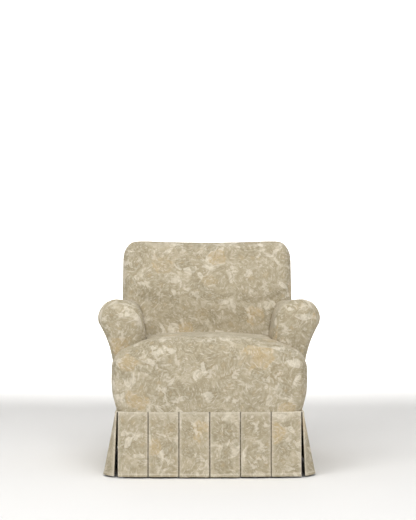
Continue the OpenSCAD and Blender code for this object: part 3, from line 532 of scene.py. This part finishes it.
def seat():
    grid, stations = seat_grid()
    cols = grid.shape[1]
    # The print's lengths start at the front's foot, after the points under the foam and inside the apron
    first_out = 5 + 3
    runs = column_runs(grid)
    runs = runs - runs[:, first_out : first_out + 1]
    across = np.array([around_edge(st[0], EAR_X, EAR_EDGE) for st in stations])
    uv = np.stack([np.repeat(across[:, None], cols, 1), runs], axis=2) / 1000
    folds = 8
    full = with_folded_ends(grid, folds)
    # The ears' flat sides swell a little, and take the print straight on
    for i in list(range(folds)) + list(range(len(full) - folds, len(full))):
        k = (folds - i) / folds if i < folds else (i - len(full) + folds + 1) / folds
        bulge = EAR_SWELL * math.sin(math.pi / 2 * min(1.0, 1.6 * k))
        full[i, :, 0] += math.copysign(bulge, full[i, 0, 0]) * np.clip((full[i, :, 2] - SEAM_H) / 60, 0, 1)
    obj = closed_piece("seat", full, folds, uv, FRONT_Y + EAR_EDGE, SEAM_H)
    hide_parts("seat_cover", "seat_foam")
    return obj


# Back: raked, crowned and held between the arms, with wings that sit on the arms' rolls

def roll_shape(rear):
    """The roll's section as shares of its width and height; its inner shoulder is rounder towards the rear."""
    lowest, out = ARM_ROLL[0][1], SHOULDER_OUT + REAR_SHOULDER_OUT * rear
    return [(s + out * math.exp(-((s - SHOULDER_AT) / SHOULDER_SPREAD) ** 2) * clamp((lowest - d) / 0.4), d)
            for s, d in ARM_ROLL]


def roll_height_at(x):
    """Height of the arm's roll behind the front of the back, at a distance from the middle."""
    share = clamp((abs(x) - ARM_IN) / ARM_REAR_W, 0, 0.99)
    shape = roll_shape(1.0)[:-1]
    xs, drops = [s for s, _ in shape], [d for _, d in shape]
    return WING_Z - ARM_ROLL_H * float(np.interp(share, xs, drops))


def back_top_at(x):
    s = abs(x) / BACK_X
    dip = TOP_DIP * max(0.0, 1 - (s / 0.65) ** 2)
    return CHAIR_H - dip - CORNER_DROP * (max(0.0, s - 0.76) / 0.24) ** 2


def crown_at(x, z, z0, z1):
    """How far the inside back swells forward."""
    half = ARM_IN + (BACK_X - ARM_IN) * clamp((z - WING_Z) / BACK_EDGE)
    return BACK_CROWN * max(0.0, 1 - (x / half) ** 2) * math.sin(math.pi * clamp((z - z0) / (z1 - z0)))


def back_line(x, wing):
    """Section of the back at x: forward under it, up its front, over the top and down to the outside panel."""
    top = back_top_at(x)
    base = roll_height_at(x) - 2.0 if wing else FOAM_Z
    z1, z0 = top - TOP_ROLL_H, SEAT_H
    y1 = back_front_at(z1)
    end_z = top - TOP_ROLL_H / 3
    start = rear_at(base) - (OUTER_BACK_T if wing else FOAM_BACK_T)
    rear_y = rear_at(end_z) - OUTER_BACK_T
    top_y = min(y1 + TOP_ROLL_D, rear_y - 28)
    under = [(start + (back_front_at(base) - start) * s, base) for s in spaced(0, 1, 5)[:-1]]
    front = []
    for s in spaced(0, 1, 60):
        # Every row has its points at the same heights, cut off where a wing rests on the arm
        z = max(base, FOAM_Z + s * (z1 - FOAM_Z))
        front.append((back_front_at(z) - crown_at(x, z, z0, z1), z))
    a90 = [math.radians(a) for a in spaced(0, 90, 16)[1:]]
    roll = [(y1 + (top_y - y1) * (1 - math.cos(a)), z1 + TOP_ROLL_H * math.sin(a)) for a in a90]
    over = [(top_y + s * (rear_y - top_y), top - s * s * (top - end_z)) for s in spaced(0, 1, 10)[1:]]
    return under + front + roll + over


def back_grid():
    """The back's sections from right to left, and each one's place, draw-in, and whether it is a wing."""
    half = [(x, e, True) for x, e in edge_stations(BACK_X, BACK_EDGE, 12)]
    half += [(x, 0.0, True) for x in spaced(BACK_X - BACK_EDGE, ARM_IN + 1.5, 20)[1:]]
    half += [(x, 0.0, False) for x in spaced(TONGUE_X, TONGUE_X - 8, 4)]
    half += [(x, 0.0, False) for x in spaced(TONGUE_X - 8, 0, 27)[1:]]
    stations = half + [(-x, e, wing) for x, e, wing in half[-2::-1]]
    grid = []
    for x, e, wing in stations:
        line = np.array(back_line(x, wing))
        near = np.array([rear_at(z) - OUTER_BACK_T - y for y, z in line])
        if not wing:
            near[0] = FOAM_BACK_T - OUTER_BACK_T
        depth, z0, z1 = near.max(), line[0][1], line[:, 1].max()
        row = []
        for (y, z), away in zip(line, near):
            z = z0 + (z - z0) * (1 - e / (z1 - z0))
            y = rear_at(z) - OUTER_BACK_T - away * (1 - e / depth)
            w = 1.0 * ripple(x, y, z, 130, 2.1) * clamp((away - 10) / 40)
            above = max(0.0, z - roll_height_at(x))
            tuck = BACK_TUCK * math.exp(-above / WING_TUCK_REACH) if wing and away > 30 else 0.0
            row.append(splayed(x, y - w + tuck, z))
        grid.append(row)
    return np.array(grid), stations


def back():
    grid, stations = back_grid()
    cols = grid.shape[1]
    # The print's lengths start at the foot of the front, after the points under the foam
    first_out = 5
    runs = column_runs(grid)
    heights = grid[:, first_out : first_out + 1, 2] / math.cos(math.radians(FRONT_LEAN))
    runs = runs - runs[:, first_out : first_out + 1] + heights
    across = np.array([around_edge(st[0], BACK_X, BACK_EDGE) for st in stations])
    uv = np.stack([np.repeat(across[:, None], cols, 1) + 311, runs], axis=2) / 1000
    folds = 6
    full = with_folded_ends(grid, folds)
    obj = closed_piece("back", full, folds, uv, 200.0, 0.0)
    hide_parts("back_cover", "back_foam")
    return obj


def panel(name, rows_at, uv_at, across, up, node):
    """A single stretched cloth panel from a function of two shares."""
    grid = np.array([[rows_at(a, b) for b in up] for a in across])
    uv = np.array([[uv_at(p) for p in row] for row in grid])
    obj = mesh_piece(name, [(grid, uv)], (), cover_cloth)
    solid = obj.modifiers.new("thickness", "SOLIDIFY")
    solid.thickness, solid.offset = SHEET_T / 1000, -1
    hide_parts(node)
    return obj


def outside_back():
    """The panel behind, from the seam above the skirt to the inside back's rear edge."""
    ends = back_grid()[0][:, -1]

    def point(a, b):
        k = a * (len(ends) - 1)
        i = min(int(k), len(ends) - 2)
        x, _, z1 = ends[i] + (k - i) * (ends[i + 1] - ends[i])
        z = FOOT_Z + b * (z1 - FOOT_Z)
        # Between the frame's posts the cloth lies a little in, and over them it is taut
        sag = PANEL_SAG * (1 - (2 * a - 1) ** 2) * math.sin(math.pi * b)
        w = 0.5 * ripple(x, 0, z, 150, 3.3) * math.sin(math.pi * b)
        # The edges turn in to meet the arms and the inside back
        from_side, from_top = min(a, 1 - a) * BACK_W, (1 - b) * (z1 - FOOT_Z)
        edge = math.exp(-((from_side / 1.6) ** 2)) + math.exp(-((from_top / 1.6) ** 2))
        return x * width_share(z), rear_at(z) - sag + w - 0.2 - (OUTER_BACK_T + 0.6) * min(1.0, edge), z

    # The panel's own width and rise in metres, and the cloth that its edges turn in
    near = [0.0, 0.0012, 0.0024, 0.004, 0.007]
    across = near + spaced(0.014, 0.986, 70) + [1 - a for a in near[::-1]]
    up = spaced(0, 0.985, 40) + [1 - a for a in near[::-1]]
    return panel("outside_back_cloth", point, lambda p: (p[0] / 1000 + 2.13, p[2] / 1000), across, up, "outside_back")


seat()
back()
outside_back()


# Arms: rolled and flared, with a rounded front that is drawn over like a sock

def along(y):
    """How far along an arm, from 0 at its front to 1 at the back."""
    return clamp((y - ARM_Y) / (BACK_Y - ARM_Y))


def roll_w_at(y):
    f = 1 - along(y) ** 1.5
    return f * ARM_W + (1 - f) * ARM_REAR_W


def arm_top_at(y):
    return ARM_H - ARM_FALL * along(y)


def arm_seam_at(y):
    return ARM_SEAM_FRONT_H + (ARM_SEAM_H - ARM_SEAM_FRONT_H) * clamp((y - ARM_Y) / SOCK_D)


def outside_x_at(y, z):
    """Outer side of the body under an arm, which widens towards the roll."""
    share, drop = ARM_ROLL[-1]
    under = arm_top_at(y) - drop * ARM_ROLL_H
    reach = max(0.0, ARM_IN + share * roll_w_at(y) - EAR_X)
    return EAR_X * width_share(z) + reach * clamp((z - SWELL_H) / (under - SWELL_H)) ** 2.2


def arm_line(y):
    """Section of an arm: up its inner wall, over the roll, and in under it to the seam, with marks along it."""
    top, w = arm_top_at(y), roll_w_at(y)
    key = [(ARM_IN + s * w, top - d * ARM_ROLL_H) for s, d in roll_shape(along(y))]
    wall = [(ARM_IN, z) for z in spaced(FOAM_Z, key[0][1], 12)[:-1]]
    roll = [tuple(p) for p in smooth_curve(key, 5)]
    under_z, seam = key[-1][1], arm_seam_at(y)
    under = [(outside_x_at(y, z), z) for z in spaced(under_z, seam, 12)[1:]]
    return wall + roll + under, len(wall), len(wall) + len(roll)


def arm_row(y, e, rear_share, seed):
    """A row of points around an arm, drawn in by e; behind the front it follows the raked rear by rear_share."""
    line, wall_n, roll_n = arm_line(y)
    line = np.array(line)
    x0, x1, z1 = line[:, 0].min(), line[:, 0].max(), line[:, 1].max()
    mid = (x0 + x1) / 2
    row = []
    for i, (x, z) in enumerate(line):
        z = FOAM_Z + (z - FOAM_Z) * (1 - e / (z1 - FOAM_Z))
        x = mid + (x - mid) * (1 - 2 * e / (x1 - x0))
        yy = y if rear_share is None else ARM_Y + rear_share * (rear_at(z) - OUTER_BACK_T - ARM_Y)
        # Gathers where the cloth is drawn in under the roll, strongest at the front
        pull = math.exp(-((i - roll_n) / 5.5) ** 2) * math.exp(-max(0.0, yy - EAR_Y) / 85.0)
        gather = GATHER_H * pull * math.sin(6.28 * yy / 15.0 + 0.8 * math.sin(i * 0.5) + seed)
        w = 0.9 * ripple(x, yy, z, 95, seed) if i >= wall_n else 0.0
        row.append(splayed(x + gather + 0.5 * w, yy, z + w))
    return row


def arm(side, seed):
    """An arm: a sock drawn over the front, the long rolled body, and a closed rear."""
    rows, us = [], []
    for a in spaced(90, 0, 12)[:-1]:
        a = math.radians(a)
        rows.append(arm_row(EAR_Y + SOCK_D * (1 - math.sin(a)), SOCK_D * (1 - math.cos(a)), None, seed))
        us.append(ARM_Y - SOCK_D * a)
    for s in [0.0, 0.01, 0.025, 0.045, 0.07] + spaced(0.1, 1, 44):
        y0 = ARM_Y + s * (rear_at(ARM_SEAM_H) - ARM_Y)
        rows.append(arm_row(y0, 0.0, s, seed))
        us.append(y0)
    grid = np.array(rows)
    runs = column_runs(grid)
    uv = np.stack([np.repeat(np.array(us)[:, None], grid.shape[1], 1) + 900 * side, runs], axis=2) / 1000
    # The front's print is laid on from the front, up to the row where the rounding has turned half way
    front_folds, rear_folds, shared = 9, 5, 6
    front = np.array(folded_end(grid[0], front_folds)[::-1] + list(grid[: shared + 1]))
    for i in range(len(front)):
        k = clamp((front_folds - i) / front_folds)
        dome = ARM_FRONT_SWELL * math.sin(math.pi / 2 * k) * np.clip((front[i, :, 2] - 455) / 50, 0, 1)
        front[i, :, 1] -= dome
    front_uv = np.stack([front[:, :, 0] + 520 * side + 77, front[:, :, 2]], axis=2) / 1000
    back_end = np.array([grid[-1]] + folded_end(grid[-1], rear_folds))
    back_uv = np.stack([back_end[:, :, 0], back_end[:, :, 2]], axis=2) / 1000
    pieces = [(front, front_uv), (grid[shared:], uv[shared:]), (back_end, back_uv)]
    cols = grid.shape[1]
    joins, at = [], 0
    for points, _ in pieces:
        ids = [at + i * cols for i in range(len(points))]
        joins.append(([i + cols - 1 for i in ids], ids))
        at += len(points) * cols
    for points, _ in pieces:
        points[:, :, 0] *= side
    name = "right" if side > 0 else "left"
    obj = mesh_piece("arm_" + name, pieces, joins, cover_cloth)
    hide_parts("arm_cover_" + name, "arm_foam_" + name)
    return obj


def outside_arm(side, seed):
    """The panel under an arm's roll, from the skirt's seam to the arm's."""
    depth = rear_at(ARM_SEAM_H) - ARM_Y
    sock_share = SOCK_D / depth

    def point(a, b):
        s = -sock_share + a * (1 + sock_share)
        y0 = ARM_Y + s * depth
        z = FOOT_Z + b * (arm_seam_at(y0) - SOFT_GAP - FOOT_Z)
        y = max(EAR_Y + SOFT_GAP, ARM_Y + s * (rear_at(z) - OUTER_BACK_T - ARM_Y))
        pull = math.exp(-(1 - b) * 5) * math.exp(-a * 6)
        w = 0.6 * ripple(0, y, z, 110, seed) + 0.8 * pull * math.sin(6.28 * y0 / 21 + seed)
        return side * (outside_x_at(y0, z) - 0.4 + w * math.sin(math.pi * b)), y, z

    name = "right" if side > 0 else "left"
    return panel("outside_arm_cloth_" + name, point, lambda p: (p[1] / 1000 + 3.7 * side, p[2] / 1000),
                 spaced(0, 1, 64), spaced(0, 1, 26), "outside_arm_" + name)


# Skirt: box pleats that hang from the seam, with a turned hem and soft folds

def rounded_line(points, r, per_corner, step):
    """A line with its corners rounded, and points every step along its straight runs."""
    p = [np.array(q, float) for q in points]
    out = [p[0]]
    for a, b, c in zip(p, p[1:], p[2:]):
        cut = min(r, 0.45 * np.linalg.norm(b - a), 0.45 * np.linalg.norm(c - b))
        q0, q2 = b + (a - b) / np.linalg.norm(a - b) * cut, b + (c - b) / np.linalg.norm(c - b) * cut
        out += [(1 - t) ** 2 * q0 + 2 * t * (1 - t) * b + t**2 * q2 for t in spaced(0, 1, per_corner)]
    out.append(p[-1])
    dense = [out[0]]
    for a, b in zip(out, out[1:]):
        n = max(1, int(np.linalg.norm(b - a) / step))
        dense += [a + (b - a) * k / n for k in range(1, n + 1)]
    return np.array(dense)


def pleat_line(length, count):
    """The line of a run of box pleats seen from above, and one pleat's width."""
    w = (length - (count - 1) * PLEAT_GAP) / count
    pts = [(PLEAT_TUCK, PLEAT_LAYER), (0, PLEAT_LAYER)]
    for i in range(count):
        s0, s1 = i * (w + PLEAT_GAP), i * (w + PLEAT_GAP) + w
        pts += [(s0, 0), (s1, 0)]
        if i < count - 1:
            a, b = s1 - PLEAT_TUCK, s1 + PLEAT_GAP + PLEAT_TUCK
            pts += [(s1, PLEAT_LAYER), (a, PLEAT_LAYER), (a, 2 * PLEAT_LAYER), (b, 2 * PLEAT_LAYER),
                    (b, PLEAT_LAYER), (s1 + PLEAT_GAP, PLEAT_LAYER)]
    pts += [(length, PLEAT_LAYER), (length - PLEAT_TUCK, PLEAT_LAYER)]
    return rounded_line(pts, 1.6, 3, 9.0), w


def skirt(name, length, count, place, turn_in, seed, u_start, node):
    """A run of the skirt: pleats that spread a little towards the hem, with a turned-in top and a stitched hem."""
    line, w = pleat_line(length, count)
    run = np.concatenate([[0], np.cumsum(np.linalg.norm(np.diff(line, axis=0), axis=1))])
    shares = sorted(set(spaced(0, 0.9, 24) + spaced(0.9, 1, 10) + [0.003, 0.006, 0.01, 0.015, 0.022]))
    tall = SEAM_H - HEM_H
    grid, painted_highlight = [], []
    for s, d in line:
        i = int(clamp(s // (w + PLEAT_GAP), 0, count - 1))
        centre = i * (w + PLEAT_GAP) + w / 2
        t = clamp((s - centre) / w + 0.5)
        col, col_painted_highlight = [], []
        for k in shares:
            face = clamp(1 - d / PLEAT_LAYER)
            lean = 1.3 * k * math.sin(2.3 * i + seed) * (t - 0.5)
            bow = -1.8 * math.sin(math.pi * t) * k**0.8 * face
            wave = 1.1 * k * math.sin(math.pi * 2 * t + 1.9 * i + seed) * face
            hem = -0.9 * clamp((k - (1 - 10.5 / tall)) * tall / 1.2) * face
            shoulder = math.exp(-((k * tall / 1.5) ** 2))
            top = turn_in * shoulder - 2.0 * math.exp(-k * tall / 5)
            ss = centre + (s - centre) * (1 - 0.014 * k * face)
            z = SEAM_H - k * tall + 0.5 * k * math.sin(1.7 * i + seed) - 0.8 * k * face * abs(2 * t - 1)
            z += 1.3 * shoulder
            col.append(tuple(place(ss, d + lean + bow + wave + hem + top, k)) + (z,))
            # Painted highlight, kept in the attribute: paler along the edges of each pleat's face, on a line 9 mm
            # above the hem, and along the top seam
            edge = math.exp(-min(t, 1 - t) * w / 1.6) * face
            rim = math.exp(-abs(k * tall - (tall - 9)) / 1.4) * face
            col_painted_highlight.append(min(1.0, edge + rim + 1.1 * math.exp(-k * tall / 8)))
        grid.append(col)
        painted_highlight.append(col_painted_highlight)
    grid = np.array(grid)
    uv = np.stack([np.repeat(run[:, None], len(shares), 1) / 1000 + u_start, grid[:, :, 2] / 1000 + 0.4], axis=2)
    obj = mesh_piece(name, [(grid, uv)], (), skirt_cloth, np.array(painted_highlight).ravel())
    solid = obj.modifiers.new("thickness", "SOLIDIFY")
    solid.thickness, solid.offset = SHEET_T / 1000, 0
    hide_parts(node)
    return obj


PROUD = 3 * CLOTH_T
SIDE_X, SIDE_Y = SEAM_X + PROUD, front_at(EAR_X, SEAM_H) + PROUD / 2
FRONT_L, SIDE_L = 2 * (SEAM_X - 2 * CLOTH_T), rear_at(SEAM_H) - SIDE_Y


def swing_at(s, length):
    """How much of its flare a run keeps at s; near its corners it hangs closer."""
    near = min(1.0, max(0.0, s) / CORNER_SWING, max(0.0, length - s) / CORNER_SWING)
    return CORNER_SHARE + (1 - CORNER_SHARE) * math.sin(math.pi / 2 * near)


def front_place(s, d, k):
    """Where a point of the front run stands: s along it, d behind its face and k down its drop."""
    x = s - FRONT_L / 2
    return x, front_at(x, SEAM_H) + CLOTH_T / 2 + d - FRONT_FLARE * k


def side_place(side):
    """The same for a side run."""
    return lambda s, d, k: (side * (SIDE_X - d + SIDE_FLARE * k * swing_at(s, SIDE_L)), SIDE_Y + s)


def back_place(s, d, k):
    """The same for the run behind."""
    return FRONT_L / 2 - s, rear_at(SEAM_H) + PROUD - d + BACK_FLARE * k * swing_at(s, FRONT_L)


arm(1, 0.7)
arm(-1, 2.9)
outside_arm(1, 1.1)
outside_arm(-1, 4.2)
skirt("skirt_front_run", FRONT_L, FRONT_PLEATS, front_place, 3.5, 0.4, 0.0, "skirt_front")
skirt("skirt_right_run", SIDE_L, SIDE_PLEATS, side_place(1), PROUD + 3.5, 1.7, 4.1, "skirt_right")
skirt("skirt_left_run", SIDE_L, SIDE_PLEATS, side_place(-1), PROUD + 3.5, 2.6, 8.3, "skirt_left")
skirt("skirt_back_run", FRONT_L, BACK_PLEATS, back_place, PROUD + 3.5, 3.5, 12.7, "skirt_back")


# Materials of the frame, the legs and the fittings

def wood(name, light, dark, rough, coat=0.0):
    """Long grain, faint rings and dark pores, with varnish if coat is above 0."""
    n = Nodes(name)
    p = n.node("ShaderNodeTexCoord").outputs["Object"]
    warp = n.noise(p, 6.0, 3.0)
    long_grain = n.vec("MULTIPLY", p, (38.0, 38.0, 5.0))
    fine = n.noise(long_grain, 3.0, 6.0, 0.65)
    ring_phase = n.math("MULTIPLY_ADD", warp, 46.0, n.math("MULTIPLY", fine, 5.0))
    rings = n.math("MULTIPLY_ADD", n.math("SINE", ring_phase), 0.5, 0.5)
    grain = n.math("MULTIPLY_ADD", fine, 0.6, n.math("MULTIPLY", rings, 0.4))
    col = n.mix(n.step(grain, 0.25, 0.75), light, dark)
    pores = n.step(n.noise(n.vec("MULTIPLY", p, (900.0, 900.0, 70.0)), 1.0, 2.0), 0.62, 0.75, 0.0, 0.5)
    col = n.mix(pores, col, dark, "MULTIPLY")
    normal = n.bump(n.math("SUBTRACT", grain, pores), 0.0006, 0.5)
    return n.finish(col, n.step(grain, 0.2, 0.8, rough, rough + 0.15), normal, Coat_Weight=coat, Coat_Roughness=0.25)


def woven(name, thread, gap, pitch, rough=0.92):
    """A coarse plain weave that shows on every side of a piece."""
    n = Nodes(name)
    p = n.node("ShaderNodeTexCoord").outputs["Object"]
    x, y, z = n.split(p)
    a = n.math("MULTIPLY_ADD", n.math("SINE", n.math("MULTIPLY", x, 6.2832 / pitch)), 0.5, 0.5)
    b = n.math("MULTIPLY_ADD", n.math("SINE", n.math("MULTIPLY", n.math("ADD", y, z), 6.2832 / pitch)), 0.5, 0.5)
    height = n.math("MULTIPLY", n.math("MAXIMUM", a, b), n.step(n.noise(p, 420.0, 3.0), 0.2, 0.8, 0.7, 1.0))
    col = n.mix(n.step(height, 0.35, 0.85), gap, thread)
    col = n.mix(n.step(n.noise(p, 30.0, 4.0), 0.4, 0.7, 0.0, 0.35), col, gap)
    return n.finish(col, rough, n.bump(height, pitch / 4, 0.6), Sheen_Weight=0.15, Specular_IOR_Level=0.2)


def metal(name, tint, rough, scratch):
    """Drawn wire and plated steel, with fine marks along it and dull spots."""
    n = Nodes(name)
    p = n.node("ShaderNodeTexCoord").outputs["Object"]
    marks = n.noise(n.vec("MULTIPLY", p, (1400.0, 1400.0, 90.0)), 1.0, 3.0)
    spots = n.step(n.noise(p, 160.0, 4.0), 0.55, 0.72, 0.0, 0.5)
    col = n.mix(spots, tint, tuple(0.55 * c for c in tint[:3]) + (1.0,))
    return n.finish(col, n.step(marks, 0.3, 0.7, rough, rough + scratch), n.bump(marks, 0.0001, 0.4), Metallic=1.0)


def pressed(name, pale, dark, grain, rough):
    """Card, foam and moulded plastic: a fine mottled surface."""
    n = Nodes(name)
    p = n.node("ShaderNodeTexCoord").outputs["Object"]
    mottle = n.noise(p, grain, 5.0, 0.6)
    col = n.mix(n.step(mottle, 0.3, 0.7), pale, dark)
    return n.finish(col, n.step(mottle, 0.3, 0.7, rough, rough + 0.12), n.bump(mottle, 0.0004, 0.35))


finishes = {
    "hardwood": wood("beech", srgb(205, 172, 128), srgb(168, 130, 88), 0.55),
    "leg_wood": wood("stained_beech", srgb(84, 56, 38), srgb(44, 27, 18), 0.32, 0.35),
    "burlap": woven("burlap", srgb(176, 146, 104), srgb(104, 80, 52), 0.0024),
    "black_cambric": woven("cambric", srgb(34, 34, 36), srgb(18, 18, 20), 0.0012),
    "spring_steel": metal("spring_steel", srgb(150, 150, 154), 0.35, 0.2),
    "zinc_steel": metal("zinc_steel", srgb(190, 192, 196), 0.3, 0.2),
    "strip_card": pressed("strip_card", srgb(214, 204, 180), srgb(184, 170, 142), 300.0, 0.8),
    "glide_plastic": pressed("glide_plastic", srgb(96, 90, 86), srgb(72, 66, 62), 700.0, 0.45),
    "foam": pressed("foam", srgb(232, 224, 190), srgb(216, 204, 160), 500.0, 0.9),
    "cover_fabric": cover_cloth,
    "skirt_fabric": skirt_cloth,
}
for part in frame["record"]["subparts"]:
    node = frame["nodes"].get(part["node"])
    if node is None:
        continue
    node.data.materials.clear()
    node.data.materials.append(finishes[part["material_slot"]])


# Stage, light and camera

WHITE = (1.0, 1.0, 1.0, 1.0)


def seen_rays(tree):
    """1 for rays that look, straight or through gloss or glass, and 0 for those that bring light to the chair."""
    path = tree.nodes.new("ShaderNodeLightPath")
    value = path.outputs["Is Camera Ray"]
    for ray in ("Is Glossy Ray", "Is Transmission Ray"):
        either = tree.nodes.new("ShaderNodeMath")
        either.operation = "MAXIMUM"
        tree.links.new(value, either.inputs[0])
        tree.links.new(path.outputs[ray], either.inputs[1])
        value = either.outputs[0]
    return value


def stage_sweep():
    """A pale floor that runs back and turns up into a plain backdrop."""
    profile = [(-14.0, 0.0), (5.0, 0.0)]
    turn = [math.radians(a) for a in spaced(5, 90, 17)]
    profile += [(5.0 + 3.0 * math.sin(a), 3.0 - 3.0 * math.cos(a)) for a in turn]
    profile += [(8.0, 12.0)]
    verts = [(x, y, z) for y, z in profile for x in (-16.0, 16.0)]
    faces = [(2 * i, 2 * i + 1, 2 * i + 3, 2 * i + 2) for i in range(len(profile) - 1)]
    mesh = bpy.data.meshes.new("stage_sweep")
    mesh.from_pydata(verts, [], faces)
    mesh.polygons.foreach_set("use_smooth", [True] * len(mesh.polygons))
    obj = bpy.data.objects.new("stage_sweep", mesh)
    bpy.context.scene.collection.objects.link(obj)
    n = Nodes("stage_paint")
    p = n.node("ShaderNodeTexCoord").outputs["Object"]
    # It pales with distance, seen straight or in a gloss, without lighting the chair
    far = n.step(n.vec("LENGTH", n.vec("MULTIPLY", p, (1.0, 1.0, 0.0))), 2.0, 9.0, 0.0, 0.75)
    n.put(n.shader.inputs["Emission Strength"], n.math("MULTIPLY", seen_rays(n.tree), far))
    n.shader.inputs["Emission Color"].default_value = WHITE
    rough = n.step(n.noise(p, 40.0, 3.0), 0.3, 0.7, 0.78, 0.84)
    mesh.materials.append(n.finish(srgb(243, 242, 240), rough, Specular_IOR_Level=0.2))


def lamp(name, place, aim, size, watts):
    """A round soft lamp at a place, turned to what it lights."""
    light = bpy.data.lights.new(name, "AREA")
    light.shape, light.size, light.energy = "DISK", size, watts
    obj = bpy.data.objects.new(name, light)
    bpy.context.scene.collection.objects.link(obj)
    obj.location = place
    way = [b - a for a, b in zip(place, aim)]
    flat = math.hypot(way[0], way[1])
    obj.rotation_euler = (math.atan2(flat, -way[2]), 0, math.atan2(way[1], way[0]) - math.pi / 2)


def world():
    """Soft light from all round, and a white background."""
    w = bpy.data.worlds.new("studio")
    bpy.context.scene.world = w
    w.use_nodes = True
    tree = w.node_tree
    sky = tree.nodes["Background"]
    power = tree.nodes.new("ShaderNodeMapRange")
    power.inputs["To Min"].default_value = 0.42
    power.inputs["To Max"].default_value = 1.0
    tree.links.new(seen_rays(tree), power.inputs["Value"])
    tree.links.new(power.outputs[0], sky.inputs["Strength"])
    sky.inputs["Color"].default_value = WHITE


stage_sweep()
world()
lamp("key", (-2.2, -3.0, 3.8), (0, 0, 0.45), 2.6, 74)
lamp("fill", (1.0, -4.8, 2.3), (0, 0, 0.5), 2.4, 72)
lamp("top", (0.1, -0.9, 3.5), (0, 0, 0.4), 2.2, 34)
lamp("backdrop", (0, 3.2, 3.4), (0, 8.0, 1.2), 3.0, 260)

# The camera's height, distance, turn and lens come from the wall's brick courses and the lines of the chair
cam_data = bpy.data.cameras.new("camera")
camera = bpy.data.objects.new("camera", cam_data)
bpy.context.scene.collection.objects.link(camera)
camera.location = (-0.070, -4.915, 0.774)
camera.rotation_euler = (math.radians(90), 0, math.radians(-0.815))
cam_data.lens, cam_data.sensor_width = 89.9, 36.0
cam_data.shift_y = -0.0096
bpy.context.scene.camera = camera
bpy.context.scene.view_settings.view_transform = "Standard"
